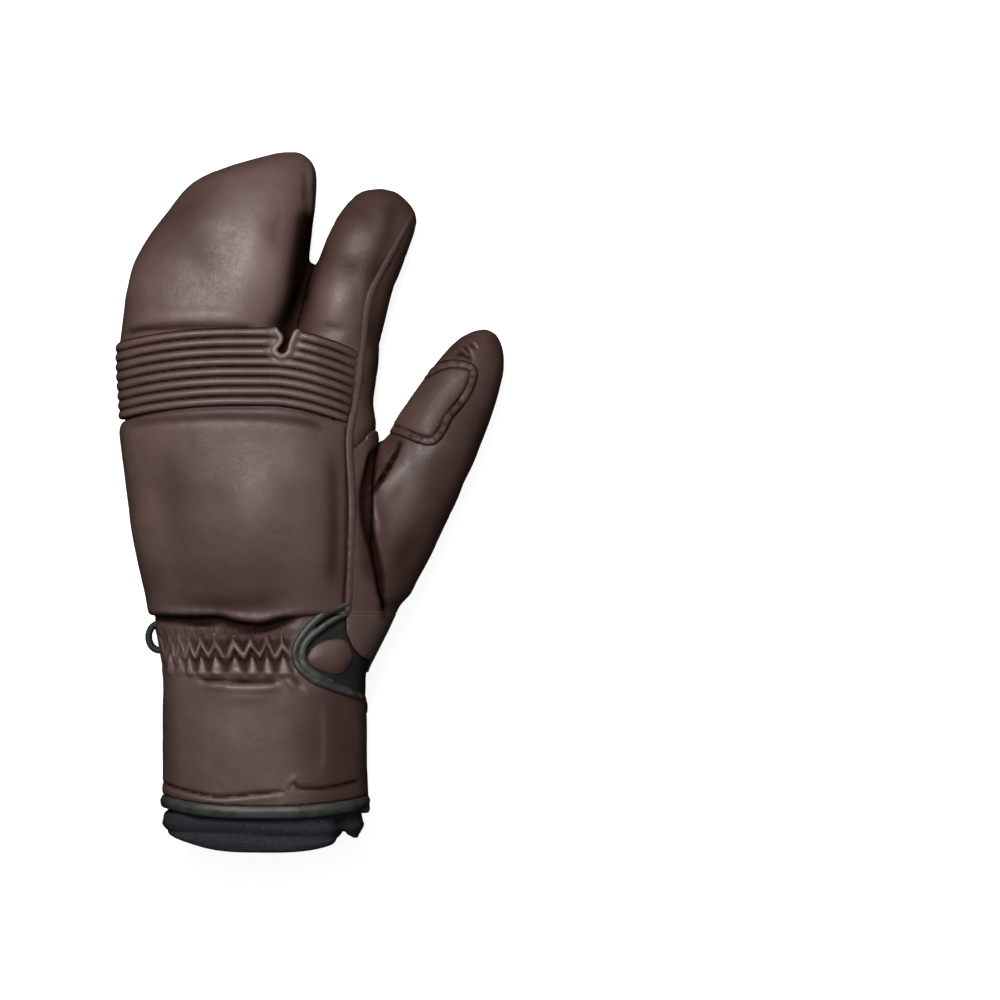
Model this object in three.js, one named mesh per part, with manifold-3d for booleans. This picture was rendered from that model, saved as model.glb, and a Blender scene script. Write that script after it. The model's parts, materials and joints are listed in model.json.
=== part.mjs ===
// Lobster claw mitt: a left-hand padded leather ski mitt with one pocket for three fingers,
// a free index finger and a thumb. It lies on its palm with the back of the hand up.
// Units are millimetres. +Z is up, +Y runs from the wrist to the fingertips, +X is the thumb side.

import * as THREE from 'three';
import { mergeVertices } from 'three/addons/utils/BufferGeometryUtils.js';
import Module from 'manifold-3d';

const wasm = await Module();
wasm.setup();

// Driving sizes

const handLength = 194;         // gathers of the wrist to the tip of the three-finger pocket
const palmWidth = 108;          // across the knuckles
const handThickness = 48;       // floor to the back of the hand at the knuckles
const indexLength = 102;        // root inside the palm to the tip
const indexWidth = 34;
const indexThickness = 36;
const indexLean = 16.5;         // degrees from +Y towards the thumb
const thumbLength = 109;        // root inside the palm to the tip
const thumbWidth = 38;
const thumbThickness = 36;
const thumbLean = 27.5;         // degrees from +Y
const wallThickness = 3;        // leather with its insulation

const gatherDepth = 25;         // pleated wrist, along Y
const pleatCount = 32;
const pleatHeight = 1.5;
const coverThickness = 2.6;     // leather of the gathers and of the strap

const cuffWidth = 86;
const cuffThickness = 51;
const cuffDepth = 74;           // strap's top edge to the lowest point of the hem
const hemRise = 11;             // how much higher the hem is at its corners
const sleeveThickness = 3;      // neoprene
const sleeveTuck = 7;           // length of the sleeve held inside the gathers
const strapHeight = 59;         // along Y, edging included
const strapReach = 47;          // length of the strap's tab across the palm from the thumb side
const edgingWidth = 4.5;
const edgingLift = 0.5;         // how far the edging stands above the strap

const ribCount = 8;
const ribPitch = 4.1;
const ribBase = 0.8;            // leather under the ribs
const ribHeight = 1.8;
const ribDroop = 6;             // how far the ribs' ends fall back towards the wrist
const padLift = 3.2;            // thickness of the padded back
const weltWidth = 1.7;
const weltLift = 1.6;
const patchLift = 1.3;          // wiping patch on the thumb

const notchWidth = 29.5;        // vent at the thumb side of the wrist
const notchHeight = 33;
const notchEdging = 3;
const notchLift = 1.6;          // how far the notch's edging stands above the leather
const panelDrop = 0.9;          // how far the neoprene in the notch lies below the leather
const tongueThickness = 1.6;

const hookLength = 29;          // hook-and-loop patch under the tab, along Y
const hookWidth = 26;
const hookShown = 18;           // of hookWidth, not covered by the tab
const hookThickness = 1;

const loopLength = 14;          // webbing loop at the little-finger side of the wrist
const loopStandoff = 5;
const loopThickness = 1.7;
const loopWidth = 8;

const gap = 0.3;                // clearance between pieces
const outerColumns = 26;        // points round a section of the outside
const innerColumns = 18;        // and of the hollow

// Colours

const leather = { color: 0x6b544e, roughness: 0.5, metalness: 0 };
const sideLeather = { color: 0x4a3833, roughness: 0.5, metalness: 0 };
const neoprene = { color: 0x232328, roughness: 0.85, metalness: 0 };
const edging = { color: 0x2e2c2c, roughness: 0.6, metalness: 0 };
const webbing = { color: 0x1b1b1c, roughness: 0.9, metalness: 0 };

// Frames of the limbs: a root in plan, a lean and the sizes that their tables are shares of

const hand = {
  x: 0,
  y: gatherDepth,
  lean: 0,
  length: handLength,
  width: palmWidth,
  thickness: handThickness,
};

const index = {
  x: 0.198 * palmWidth,
  y: gatherDepth + 0.415 * handLength,
  lean: THREE.MathUtils.degToRad(indexLean),
  length: indexLength,
  width: indexWidth,
  thickness: indexThickness,
};

const thumb = {
  x: 0.412 * palmWidth,
  y: gatherDepth + 0.112 * handLength,
  lean: THREE.MathUtils.degToRad(thumbLean),
  length: thumbLength,
  width: thumbWidth,
  thickness: thumbThickness,
};

const cuff = { x: 0, y: 0, lean: 0, length: cuffDepth, width: cuffWidth, thickness: cuffThickness };
const strap = { x: cuffWidth / 2, y: 0, lean: 0, length: strapHeight, width: strapReach };
const notch = { x: cuffWidth / 2, y: 0, lean: 0, length: notchHeight, width: notchWidth };

// Sections. Each row is a share of its limb's length, width and thickness.
// at: along the limb; left, right: sides; top, bottom: heights; power: squareness of the section.

const handRows = [
  { at: -0.08, left: -0.44, right: 0.50, top: 0.98, bottom: -0.03, power: 2.3 },
  { at: 0.00, left: -0.443, right: 0.515, top: 0.99, bottom: -0.03, power: 2.3 },
  { at: 0.05, left: -0.453, right: 0.53, top: 1.01, bottom: -0.03, power: 2.3 },
  { at: 0.11, left: -0.477, right: 0.54, top: 1.03, bottom: -0.03, power: 2.3 },
  { at: 0.20, left: -0.504, right: 0.535, top: 1.04, bottom: -0.03, power: 2.3 },
  { at: 0.29, left: -0.522, right: 0.495, top: 1.03, bottom: -0.03, power: 2.3 },
  { at: 0.37, left: -0.537, right: 0.426, top: 1.01, bottom: -0.03, power: 2.3 },
  { at: 0.44, left: -0.552, right: 0.405, top: 1.00, bottom: -0.03, power: 2.3 },
  { at: 0.485, left: -0.56, right: 0.38, top: 1.00, bottom: -0.03, power: 2.25 },
  { at: 0.515, left: -0.565, right: 0.31, top: 0.99, bottom: -0.03, power: 2.2 },
  { at: 0.545, left: -0.568, right: 0.20, top: 0.98, bottom: -0.03, power: 2.15 },
  { at: 0.58, left: -0.566, right: 0.135, top: 0.97, bottom: -0.03, power: 2.15 },
  { at: 0.63, left: -0.555, right: 0.135, top: 0.95, bottom: -0.03, power: 2.15 },
  { at: 0.69, left: -0.542, right: 0.16, top: 0.91, bottom: -0.03, power: 2.15 },
  { at: 0.75, left: -0.522, right: 0.188, top: 0.87, bottom: -0.03, power: 2.15 },
  { at: 0.80, left: -0.478, right: 0.199, top: 0.83, bottom: -0.03, power: 2.15 },
  { at: 0.84, left: -0.427, right: 0.203, top: 0.78, bottom: -0.02, power: 2.15 },
  { at: 0.88, left: -0.37, right: 0.206, top: 0.72, bottom: -0.02, power: 2.15 },
  { at: 0.915, left: -0.325, right: 0.206, top: 0.66, bottom: 0.0, power: 2.15 },
  { at: 0.94, left: -0.275, right: 0.205, top: 0.60, bottom: 0.02, power: 2.1 },
  { at: 0.96, left: -0.205, right: 0.20, top: 0.54, bottom: 0.05, power: 2.1 },
  { at: 0.98, left: -0.105, right: 0.18, top: 0.46, bottom: 0.11, power: 2.0 },
  { at: 0.992, left: -0.015, right: 0.16, top: 0.38, bottom: 0.17, power: 2.0 },
  { at: 1.00, left: 0.035, right: 0.135, top: 0.31, bottom: 0.23, power: 2.0 },
];

const indexRows = [
  { at: 0.00, left: -0.50, right: 0.50, top: 1.10, bottom: -0.03, power: 2.3 },
  { at: 0.20, left: -0.52, right: 0.55, top: 1.08, bottom: -0.03, power: 2.3 },
  { at: 0.40, left: -0.55, right: 0.465, top: 1.03, bottom: -0.03, power: 2.25 },
  { at: 0.60, left: -0.56, right: 0.435, top: 0.98, bottom: -0.03, power: 2.2 },
  { at: 0.75, left: -0.525, right: 0.465, top: 0.92, bottom: -0.02, power: 2.2 },
  { at: 0.85, left: -0.465, right: 0.485, top: 0.84, bottom: 0.00, power: 2.15 },
  { at: 0.91, left: -0.39, right: 0.485, top: 0.77, bottom: 0.03, power: 2.1 },
  { at: 0.95, left: -0.315, right: 0.42, top: 0.69, bottom: 0.07, power: 2.0 },
  { at: 0.98, left: -0.21, right: 0.31, top: 0.59, bottom: 0.13, power: 2.0 },
  { at: 1.00, left: -0.05, right: 0.16, top: 0.45, bottom: 0.22, power: 2.0 },
];

const thumbRows = [
  { at: -0.25, left: -0.50, right: 0.54, top: 1.04, bottom: -0.03, power: 2.3 },
  { at: 0.00, left: -0.50, right: 0.555, top: 1.06, bottom: -0.03, power: 2.3 },
  { at: 0.175, left: -0.50, right: 0.555, top: 1.05, bottom: -0.03, power: 2.3 },
  { at: 0.35, left: -0.47, right: 0.53, top: 1.01, bottom: -0.03, power: 2.25 },
  { at: 0.52, left: -0.475, right: 0.50, top: 0.97, bottom: -0.03, power: 2.2 },
  { at: 0.70, left: -0.42, right: 0.44, top: 0.90, bottom: -0.02, power: 2.2 },
  { at: 0.80, left: -0.38, right: 0.39, top: 0.84, bottom: -0.01, power: 2.15 },
  { at: 0.88, left: -0.32, right: 0.33, top: 0.77, bottom: 0.01, power: 2.1 },
  { at: 0.94, left: -0.25, right: 0.25, top: 0.68, bottom: 0.07, power: 2.0 },
  { at: 0.98, left: -0.16, right: 0.16, top: 0.58, bottom: 0.14, power: 2.0 },
  { at: 1.00, left: -0.07, right: 0.07, top: 0.48, bottom: 0.24, power: 2.0 },
];

// One wide section across the pocket and the index carries the ribs, from the pad to the fingers

const ribStart = { left: -0.552, right: 0.45, top: 1.00, bottom: 0.00, power: 2.5 };
const ribEnd = { left: -0.556, right: 0.49, top: 0.96, bottom: 0.00, power: 3.0 };
const ribTop = 0.613;           // share of handLength
const ribProfile = [0, 1, 1];   // shares of ribHeight at even steps over one rib
const droopLeft = { from: -0.13, over: 0.44 };
const droopRight = { from: 0.14, over: 0.21 };

const widestLevel = 0.45;       // share of a section's height
const cuffSection = { at: 0, left: -0.5, right: 0.5, top: 1.00, bottom: -0.02, power: 2.5 };

// Pleated wrist: depth is a share of gatherDepth from the strap up, puff is out of the plain
// surface in millimetres, pleat is a share of pleatHeight

const gatherRows = [
  { depth: 1.00, puff: 0.0, pleat: 0.0 },
  { depth: 0.82, puff: 1.2, pleat: 0.5 },
  { depth: 0.64, puff: -0.6, pleat: 1.0 },
  { depth: 0.46, puff: -0.8, pleat: 0.8 },
  { depth: 0.28, puff: 1.2, pleat: 1.0 },
  { depth: 0.12, puff: 0.6, pleat: 0.7 },
  { depth: 0.00, puff: 0.0, pleat: 0.1 },
];

// Outlines in plan, as shares across and along a limb

const pocketSeam = [[-0.70, 0.435], [-0.415, 0.446], [-0.20, 0.487], [0.00, 0.524], [0.20, 0.555]];
const indexSeam = [[0.08, 0.60], [0.12, 0.53], [0.215, 0.385], [0.30, 0.355], [0.50, 0.345]];
const thumbBackSeam = [
  [0.60, 0.59], [0.50, 0.46], [0.438, 0.357], [0.42, 0.225],
  [0.428, 0.12], [0.465, 0.00], [0.465, -0.10],
];
const thumbPalmSeam = [
  [0.60, 0.59], [0.50, 0.46], [0.43, 0.366], [0.222, 0.378], [0.095, 0.295],
  [0.06, 0.215], [0.075, 0.12], [0.16, 0.00], [0.16, -0.10],
];
const sideSeam = [
  [0.578, 0.868], [0.52, 0.81], [0.455, 0.74], [0.40, 0.673], [0.377, 0.558],
  [0.355, 0.46], [0.328, 0.38], [0.338, 0.25], [0.335, 0.13], [0.323, 0.01],
];
const padBottom = [[0.50, 0.004], [0.15, 0.008], [-0.05, 0.003], [-0.25, 0.012], [-0.70, 0.010]];
const crotchNotch = [[0.02, 0.70], [0.05, 0.60], [0.08, 0.548], [0.105, 0.548], [0.15, 0.61], [0.18, 0.70]];
const thumbPatch = [
  [-0.60, 0.52], [-0.50, 0.475], [-0.12, 0.48], [-0.01, 0.50], [0.06, 0.54],
  [0.09, 0.64], [0.13, 0.76], [0.10, 0.83], [0.00, 0.855], [-0.15, 0.85], [-0.40, 0.79], [-0.56, 0.70],
];

// The tab on the palm, as shares of strapReach and strapHeight from the cuff's thumb side
const tabPath = [
  [0.50, -0.14], [0.00, -0.20], [-0.86, -0.38], [-0.98, -0.43], [-1.00, -0.50],
  [-1.00, -0.90], [-0.94, -0.97], [-0.80, -1.00], [0.50, -1.00],
];

// The notch's edging, as shares of notchWidth and notchHeight from the cuff's thumb side
const notchPath = [
  [-0.34, 0.69], [-0.60, 0.635], [-0.83, 0.525], [-0.96, 0.345], [-0.96, 0.16],
  [-0.86, 0.01], [-0.68, -0.095], [-0.40, -0.17], [-0.10, -0.245], [0.25, -0.33],
];
const notchFar = [[0.25, 0.10], [-0.20, 0.20], [-0.20, 0.60]];
const tongueOutline = [
  [-0.80, 0.30], [-0.62, 0.40], [-0.35, 0.42], [-0.24, 0.30],
  [-0.24, 0.06], [-0.50, 0.01], [-0.70, 0.10],
];

// Geometry

function place(limb, [across, along]) {
  const side = across * limb.width;
  const reach = along * limb.length;
  return new THREE.Vector2(
    limb.x + side * Math.cos(limb.lean) + reach * Math.sin(limb.lean),
    limb.y - side * Math.sin(limb.lean) + reach * Math.cos(limb.lean),
  );
}

function sectionPoint(section, turn) {
  const cosine = Math.cos(turn);
  const sine = Math.sin(turn);
  const half = (section.right - section.left) / 2;
  const level = section.bottom + widestLevel * (section.top - section.bottom);
  const reach = sine > 0 ? section.top - level : level - section.bottom;
  return {
    x: section.left + half + half * Math.sign(cosine) * Math.abs(cosine) ** (2 / section.power),
    z: level + reach * Math.sign(sine) * Math.abs(sine) ** (2 / section.power),
  };
}

function sized(limb, row) {
  return {
    along: row.at * limb.length,
    left: row.left * limb.width,
    right: row.right * limb.width,
    top: row.top * limb.thickness,
    bottom: row.bottom * limb.thickness,
    power: row.power,
  };
}

function grown(section, amount) {
  return {
    ...section,
    left: section.left - amount,
    right: section.right + amount,
    top: section.top + amount,
    bottom: section.bottom - amount,
  };
}

function blend(from, to, share) {
  return Object.fromEntries(
    Object.keys(from).map((key) => [key, THREE.MathUtils.lerp(from[key], to[key], share)]),
  );
}

// Skin a stack of closed rings of equal length and close both ends
function skin(rings) {
  const count = rings[0].length;
  const positions = rings.flat().flatMap((point) => [point.x, point.y, point.z]);
  const faces = [];
  for (let ring = 0; ring < rings.length - 1; ring += 1) {
    for (let step = 0; step < count; step += 1) {
      const next = (step + 1) % count;
      const a = ring * count + step;
      const b = ring * count + next;
      faces.push(a, b + count, b, a, a + count, b + count);
    }
  }
  for (const [ring, outward] of [[0, false], [rings.length - 1, true]]) {
    const centre = positions.length / 3;
    const middle = new THREE.Vector3();
    rings[ring].forEach((point) => middle.addScaledVector(point, 1 / count));
    positions.push(middle.x, middle.y, middle.z);
    for (let step = 0; step < count; step += 1) {
      const a = ring * count + step;
      const b = ring * count + (step + 1) % count;
      faces.push(centre, outward ? b : a, outward ? a : b);
    }
  }
  const geometry = new THREE.BufferGeometry();
  geometry.setAttribute('position', new THREE.Float32BufferAttribute(positions, 3));
  geometry.setIndex(faces);
  return geometry;
}

function ringOf(limb, section, columns, bend = () => 0) {
  return Array.from({ length: columns }, (unused, step) => {
    const { x, z } = sectionPoint(section, (step / columns) * 2 * Math.PI);
    const spot = place(limb, [x / limb.width, (section.along + bend(x)) / limb.length]);
    return new THREE.Vector3(spot.x, spot.y, z);
  });
}

function limbGeometry(limb, rows, columns) {
  return skin(rows.map((row) => ringOf(limb, sized(limb, row), columns)));
}

// Move every vertex along its normal
function swell(geometry, amount) {
  const swollen = geometry.clone();
  swollen.computeVertexNormals();
  const position = swollen.attributes.position;
  const normal = swollen.attributes.normal;
  for (let i = 0; i < position.count; i += 1) {
    position.setXYZ(
      i,
      position.getX(i) + amount * normal.getX(i),
      position.getY(i) + amount * normal.getY(i),
      position.getZ(i) + amount * normal.getZ(i),
    );
  }
  return swollen;
}

// Solids, joined and cut

function solid(geometry) {
  const plain = geometry.clone();
  plain.deleteAttribute('normal');
  plain.deleteAttribute('uv');
  const welded = mergeVertices(plain, 1e-4);
  return new wasm.Manifold(new wasm.Mesh({
    numProp: 3,
    vertProperties: new Float32Array(welded.attributes.position.array),
    triVerts: new Uint32Array(welded.index.array),
  }));
}

function meshOf(name, manifold, look) {
  const cut = manifold.getMesh();
  const geometry = new THREE.BufferGeometry();
  geometry.setAttribute('position', new THREE.BufferAttribute(cut.vertProperties, 3));
  geometry.setIndex(new THREE.BufferAttribute(cut.triVerts, 1));
  geometry.computeVertexNormals();
  const mesh = new THREE.Mesh(geometry, new THREE.MeshStandardMaterial(look));
  mesh.name = name;
  return mesh;
}

function block(low, high) {
  const geometry = new THREE.BoxGeometry(high[0] - low[0], high[1] - low[1], high[2] - low[2]);
  geometry.translate((low[0] + high[0]) / 2, (low[1] + high[1]) / 2, (low[2] + high[2]) / 2);
  return solid(geometry);
}

// An outline in plan, carried up between two heights
function prism(outline, low, high) {
  const shape = new THREE.Shape(outline);
  const geometry = new THREE.ExtrudeGeometry(shape, { depth: high - low, bevelEnabled: false });
  geometry.translate(0, 0, low);
  return solid(geometry);
}

// A band of even width along a path in plan
function band(path, width) {
  const near = [];
  const far = [];
  path.forEach((point, i) => {
    const before = path[Math.max(i - 1, 0)];
    const after = path[Math.min(i + 1, path.length - 1)];
    const side = after.clone().sub(before).normalize().rotateAround(new THREE.Vector2(), Math.PI / 2);
    near.push(point.clone().addScaledVector(side, width / 2));
    far.unshift(point.clone().addScaledVector(side, -width / 2));
  });
  return [...near, ...far];
}

function smooth(points, pieces) {
  return new THREE.SplineCurve(points).getPoints(pieces);
}

function alongLimb(limb, shares) {
  return shares.map((share) => place(limb, share));
}

const far = handLength + cuffDepth + palmWidth;      // beyond every face, for cutting bodies
const sky = 2 * handThickness;
const aboveFloor = (height) => block([-far, -far, height], [far, far, sky]);

// Hollow hand

// The hollow needs only every second section, and the last
function everySecond(rows) {
  return rows.filter((row, i) => i % 2 === 0 || i === rows.length - 1);
}

const limbs = [[hand, handRows], [index, indexRows], [thumb, thumbRows]];
const outside = limbs.map(([limb, rows]) => limbGeometry(limb, rows, outerColumns));
const inside = limbs.map(([limb, rows]) => limbGeometry(limb, everySecond(rows), innerColumns));
const [handOutside, indexOutside, thumbOutside] = outside;

function joined(geometries, amount, floor) {
  return geometries
    .map((geometry) => solid(amount === 0 ? geometry : swell(geometry, amount)))
    .reduce((sum, piece) => sum.add(piece))
    .intersect(aboveFloor(floor));
}

const pastWrist = block([-far, -far, -sky], [far, gatherDepth + gap / 2, sky]);
const handShell = joined(outside, 0, 0)
  .subtract(joined(inside, -wallThickness, wallThickness))
  .subtract(pastWrist);

// A seam bounds a region on one side and has a slit of the clearance along it
function seam(shares, closing, low, high) {
  const path = smooth(alongLimb(hand, shares), 2 * shares.length);
  return {
    region: prism([...path, ...alongLimb(hand, closing)], low, high),
    slit: prism(band(path, gap), low, high),
  };
}

function splitOff(shell, cuts) {
  const slits = cuts.map((cut) => cut.slit).reduce((sum, slit) => sum.add(slit));
  const region = cuts.map((cut) => cut.region).reduce((sum, part) => sum.add(part));
  const slitted = shell.subtract(slits);
  return [slitted.intersect(region), slitted.subtract(region)];
}

const seamHeight = 0.42 * handThickness;              // where the thumb's two seams meet
const thumbCorners = [[1.20, -0.10], [1.20, 1.00], [0.90, 1.00]];
const [thumbShell, fingers] = splitOff(handShell, [
  seam(thumbBackSeam, thumbCorners, seamHeight, sky),
  seam(thumbPalmSeam, thumbCorners, -sky, seamHeight),
]);

// The index finger is its own limb beyond its seam, however wide the fingers are
const indexCorners = [[1.00, 0.345], [1.00, 1.10], [-0.20, 1.10], [-0.20, 0.75]];
const pastSeam = seam(indexSeam, indexCorners, -sky, sky);
const indexShell = fingers
  .intersect(solid(indexOutside))
  .intersect(pastSeam.region)
  .subtract(pastSeam.slit);
const roundIndex = solid(swell(indexOutside, gap)).intersect(pastSeam.region.add(pastSeam.slit));
const [pocketShell, bodyShell] = splitOff(
  fingers.subtract(roundIndex),
  [seam(pocketSeam, [[0.40, 1.10], [-0.70, 1.10]], -sky, sky)],
);

// Pieces laid on the back of the hand, between the clearance and their own height

const flank = 0.42 * handThickness;                   // they wrap down to this height
const palmAndIndex = [handOutside, indexOutside];
const cleared = joined(outside, gap, 0);
const sideSeamPath = smooth(alongLimb(hand, sideSeam), 2 * sideSeam.length);
const besideWelt = prism(band(sideSeamPath, weltWidth + 2 * gap), -sky, sky);

function laid(cover, outline, floor) {
  return cover.intersect(prism(outline, floor, sky)).subtract(cleared);
}

// How far the ribs fall back towards the wrist, by their place across the palm
function droop(across) {
  const toLeft = Math.max(0, (droopLeft.from - across) / droopLeft.over);
  const toRight = Math.max(0, (across - droopRight.from) / droopRight.over);
  return ribDroop * (toLeft ** 1.5 + toRight ** 1.5);
}

function ribGeometry() {
  const steps = ribCount * ribProfile.length;
  const length = ribCount * ribPitch;
  const rings = Array.from({ length: steps + 1 }, (unused, i) => {
    const share = i / steps;
    const lift = ribBase + ribHeight * ribProfile[i % ribProfile.length];
    const row = { at: ribTop - ((1 - share) * length) / handLength, ...blend(ribStart, ribEnd, share) };
    const section = grown(sized(hand, row), gap + lift);
    return ringOf(hand, section, outerColumns, (x) => -droop(x / palmWidth));
  });
  return skin(rings);
}

// Everything on the little-finger side of the side seam
const backOutline = [
  ...sideSeamPath,
  ...alongLimb(hand, [[0.323, -0.20], [-0.70, -0.20], [-0.70, 0.90]]),
];
const knuckleRibs = laid(solid(ribGeometry()), backOutline, flank)
  .subtract(besideWelt)
  .subtract(prism(alongLimb(hand, crotchNotch), -sky, sky));

const padTop = Array.from({ length: 15 }, (unused, i) => {
  const across = -0.66 + 0.075 * i;
  const along = ribTop - (ribCount * ribPitch + droop(across) - 3 * gap) / handLength;
  return [across, along];
});
const ribsAndGap = solid(ribGeometry().translate(0, -gap, 0));
const backPad = laid(joined(palmAndIndex, gap + padLift, 0), backOutline, flank)
  .subtract(besideWelt)
  .intersect(prism(alongLimb(hand, [...padTop, ...padBottom]), -sky, sky))
  .subtract(ribsAndGap);

const sideWelt = laid(joined(palmAndIndex, gap + weltLift, 0), band(sideSeamPath, weltWidth), 0.7 * flank);
const wipingPatch = laid(
  joined([thumbOutside], gap + patchLift, 0),
  alongLimb(thumb, thumbPatch),
  0.5 * thumbThickness,
);

// Wrist and cuff

const wristSection = sized(hand, handRows.find((row) => row.at === 0));
const cuffRing = sized(cuff, cuffSection);

function wristAt(along, amount) {
  const share = THREE.MathUtils.clamp(along / gatherDepth, 0, 1);
  return { ...grown(blend(cuffRing, wristSection, share), amount), along };
}

// The plain surface of the gathers and the strap, grown by an amount
function wristSolid(amount, low = -cuffDepth - hemRise, high = gatherDepth + 1) {
  const rings = [low, 0, high].map((along) => ringOf(cuff, wristAt(along, amount), outerColumns));
  return solid(skin(rings)).intersect(aboveFloor(0));
}

function pleatedSolid(amount) {
  const rings = gatherRows.toReversed().map((row) => {
    const along = row.depth * (gatherDepth - gap / 2);
    const crest = wristAt(along, amount + row.puff + (pleatHeight * row.pleat) / 2);
    const valley = wristAt(along, amount + row.puff - (pleatHeight * row.pleat) / 2);
    const [high, low] = [crest, valley].map((section) => ringOf(cuff, section, 2 * pleatCount));
    return high.map((point, i) => (i % 2 === 0 ? point : low[i]));
  });
  return solid(skin(rings)).intersect(aboveFloor(0));
}

const notchEdge = smooth(alongLimb(notch, notchPath), 2 * notchPath.length);
const notchFarEdge = alongLimb(notch, notchFar);
const notchFloor = 0.42 * cuffThickness;
const notchRegion = prism([...notchEdge, ...notchFarEdge], notchFloor, sky);
const notchBand = (width) => prism(band(notchEdge, width), notchFloor, sky);
const notchHole = notchRegion.add(notchBand(notchEdging + 2 * gap));

// What a leather layer of coverThickness leaves free inside it
const underCover = wristSolid(-coverThickness).intersect(aboveFloor(coverThickness));

const gathers = pleatedSolid(0).subtract(underCover).subtract(notchHole);
const notchRim = wristSolid(notchLift).subtract(underCover).intersect(notchBand(notchEdging));
const notchPanel = wristSolid(-panelDrop)
  .subtract(underCover)
  .intersect(notchRegion)
  .subtract(notchBand(notchEdging + 2 * gap))
  .subtract(prism(band([notchEdge.at(-1), ...notchFarEdge, notchEdge[0]], 2 * gap), -sky, sky))
  .intersect(aboveFloor(notchFloor + gap));
const notchTongue = wristSolid(tongueThickness - panelDrop + gap)
  .subtract(wristSolid(-panelDrop + gap))
  .intersect(prism(alongLimb(notch, tongueOutline), notchFloor, sky));

// The strap wraps the back and the thumb side, and its tab lies on the palm
const wrap = wristSolid(0).subtract(underCover);
const raisedWrap = wristSolid(edgingLift).subtract(underCover);
const strapLevel = 0.45 * cuffThickness;
const tabEdge = alongLimb(strap, tabPath);
const strapRegion = block([-far, -strapHeight, strapLevel], [far, -gap, sky])
  .add(prism(tabEdge, -sky, strapLevel + gap));
function edgingRegion(width) {
  const backEdge = [new THREE.Vector2(-far, -strapHeight), new THREE.Vector2(far, -strapHeight)];
  return prism(band(backEdge, 2 * width), strapLevel, sky)
    .add(prism(band(tabEdge, 2 * width), -sky, strapLevel + gap));
}
const strapSolid = wrap
  .intersect(strapRegion)
  .subtract(edgingRegion(edgingWidth + gap))
  .subtract(notchHole);
const strapEdging = raisedWrap
  .intersect(strapRegion)
  .intersect(edgingRegion(edgingWidth))
  .subtract(notchHole);

// The sleeve goes up inside the gathers and clears the strap and the hook patch under it
const sleeveFloor = coverThickness + gap + hookThickness + gap;
const sleeveOutside = wristSolid(-coverThickness - gap).intersect(aboveFloor(sleeveFloor));
const sleeveInside = wristSolid(-coverThickness - gap - sleeveThickness, -far, far)
  .intersect(aboveFloor(sleeveFloor + sleeveThickness));
const hem = Array.from({ length: 13 }, (unused, i) => {
  const side = -1 + i / 6;
  return new THREE.Vector2((side * cuffWidth) / 2, -cuffDepth + hemRise * Math.abs(side) ** 3);
});
const sleeveRegion = prism(
  [...hem, new THREE.Vector2(far, sleeveTuck), new THREE.Vector2(-far, sleeveTuck)],
  -sky,
  sky,
);
const sleeve = sleeveOutside.subtract(sleeveInside).intersect(sleeveRegion);

const tabEnd = cuffWidth / 2 - strapReach;
const hookMiddle = -0.70 * strapHeight;
const hookPatch = block(
  [tabEnd - hookShown, hookMiddle - hookLength / 2, coverThickness + gap],
  [tabEnd - hookShown + hookWidth, hookMiddle + hookLength / 2, coverThickness + gap + hookThickness],
);

function loopSolid() {
  const centre = { x: cuffRing.left - 1, y: 0.6 * gatherDepth };
  const shape = new THREE.Shape();
  const reach = centre.x - cuffRing.left + loopStandoff + 2;
  shape.absellipse(centre.x, centre.y, reach, loopLength / 2, 0, 2 * Math.PI);
  const hole = new THREE.Path();
  const inner = { x: reach - loopThickness, y: loopLength / 2 - loopThickness };
  hole.absellipse(centre.x, centre.y, inner.x, inner.y, 0, 2 * Math.PI);
  shape.holes.push(hole);
  const settings = { depth: loopWidth, bevelEnabled: false, curveSegments: 12 };
  const geometry = new THREE.ExtrudeGeometry(shape, settings);
  geometry.translate(0, 0, (cuffThickness - loopWidth) / 2);
  return solid(geometry).subtract(pleatedSolid(gap));
}

// Assembly

const mitt = new THREE.Group().add(
  meshOf('hand_body', bodyShell, leather),
  meshOf('finger_pocket', pocketShell, leather),
  meshOf('index_finger', indexShell, sideLeather),
  meshOf('thumb', thumbShell, sideLeather),
  meshOf('knuckle_ribs', knuckleRibs, leather),
  meshOf('back_pad', backPad, leather),
  meshOf('side_welt', sideWelt, leather),
  meshOf('wiping_patch', wipingPatch, leather),
  meshOf('wrist_gathers', gathers, leather),
  meshOf('notch_panel', notchPanel, neoprene),
  meshOf('notch_tongue', notchTongue, sideLeather),
  meshOf('notch_edging', notchRim, edging),
  meshOf('cuff_strap', strapSolid, leather),
  meshOf('strap_edging', strapEdging, edging),
  meshOf('cuff_sleeve', sleeve, neoprene),
  meshOf('hook_patch', hookPatch, webbing),
  meshOf('hang_loop', loopSolid(), webbing),
);

// The origin is the middle of the box's base
const box = new THREE.Box3().setFromObject(mitt);
const centre = box.getCenter(new THREE.Vector3());
mitt.position.set(-centre.x, -centre.y, -box.min.z);

export default new THREE.Group().add(mitt);
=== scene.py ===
"""Looks of the lobster claw mitt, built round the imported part.

Shapes are worked out in millimetres in the part's design frame, whose zero is the middle of the
cuff at the strap's top edge, and turned into metres in the row frame as each mesh is made.
A spot is a place in the photograph, in pixels.
"""

import itertools
import json
import math
from collections import namedtuple

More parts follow.
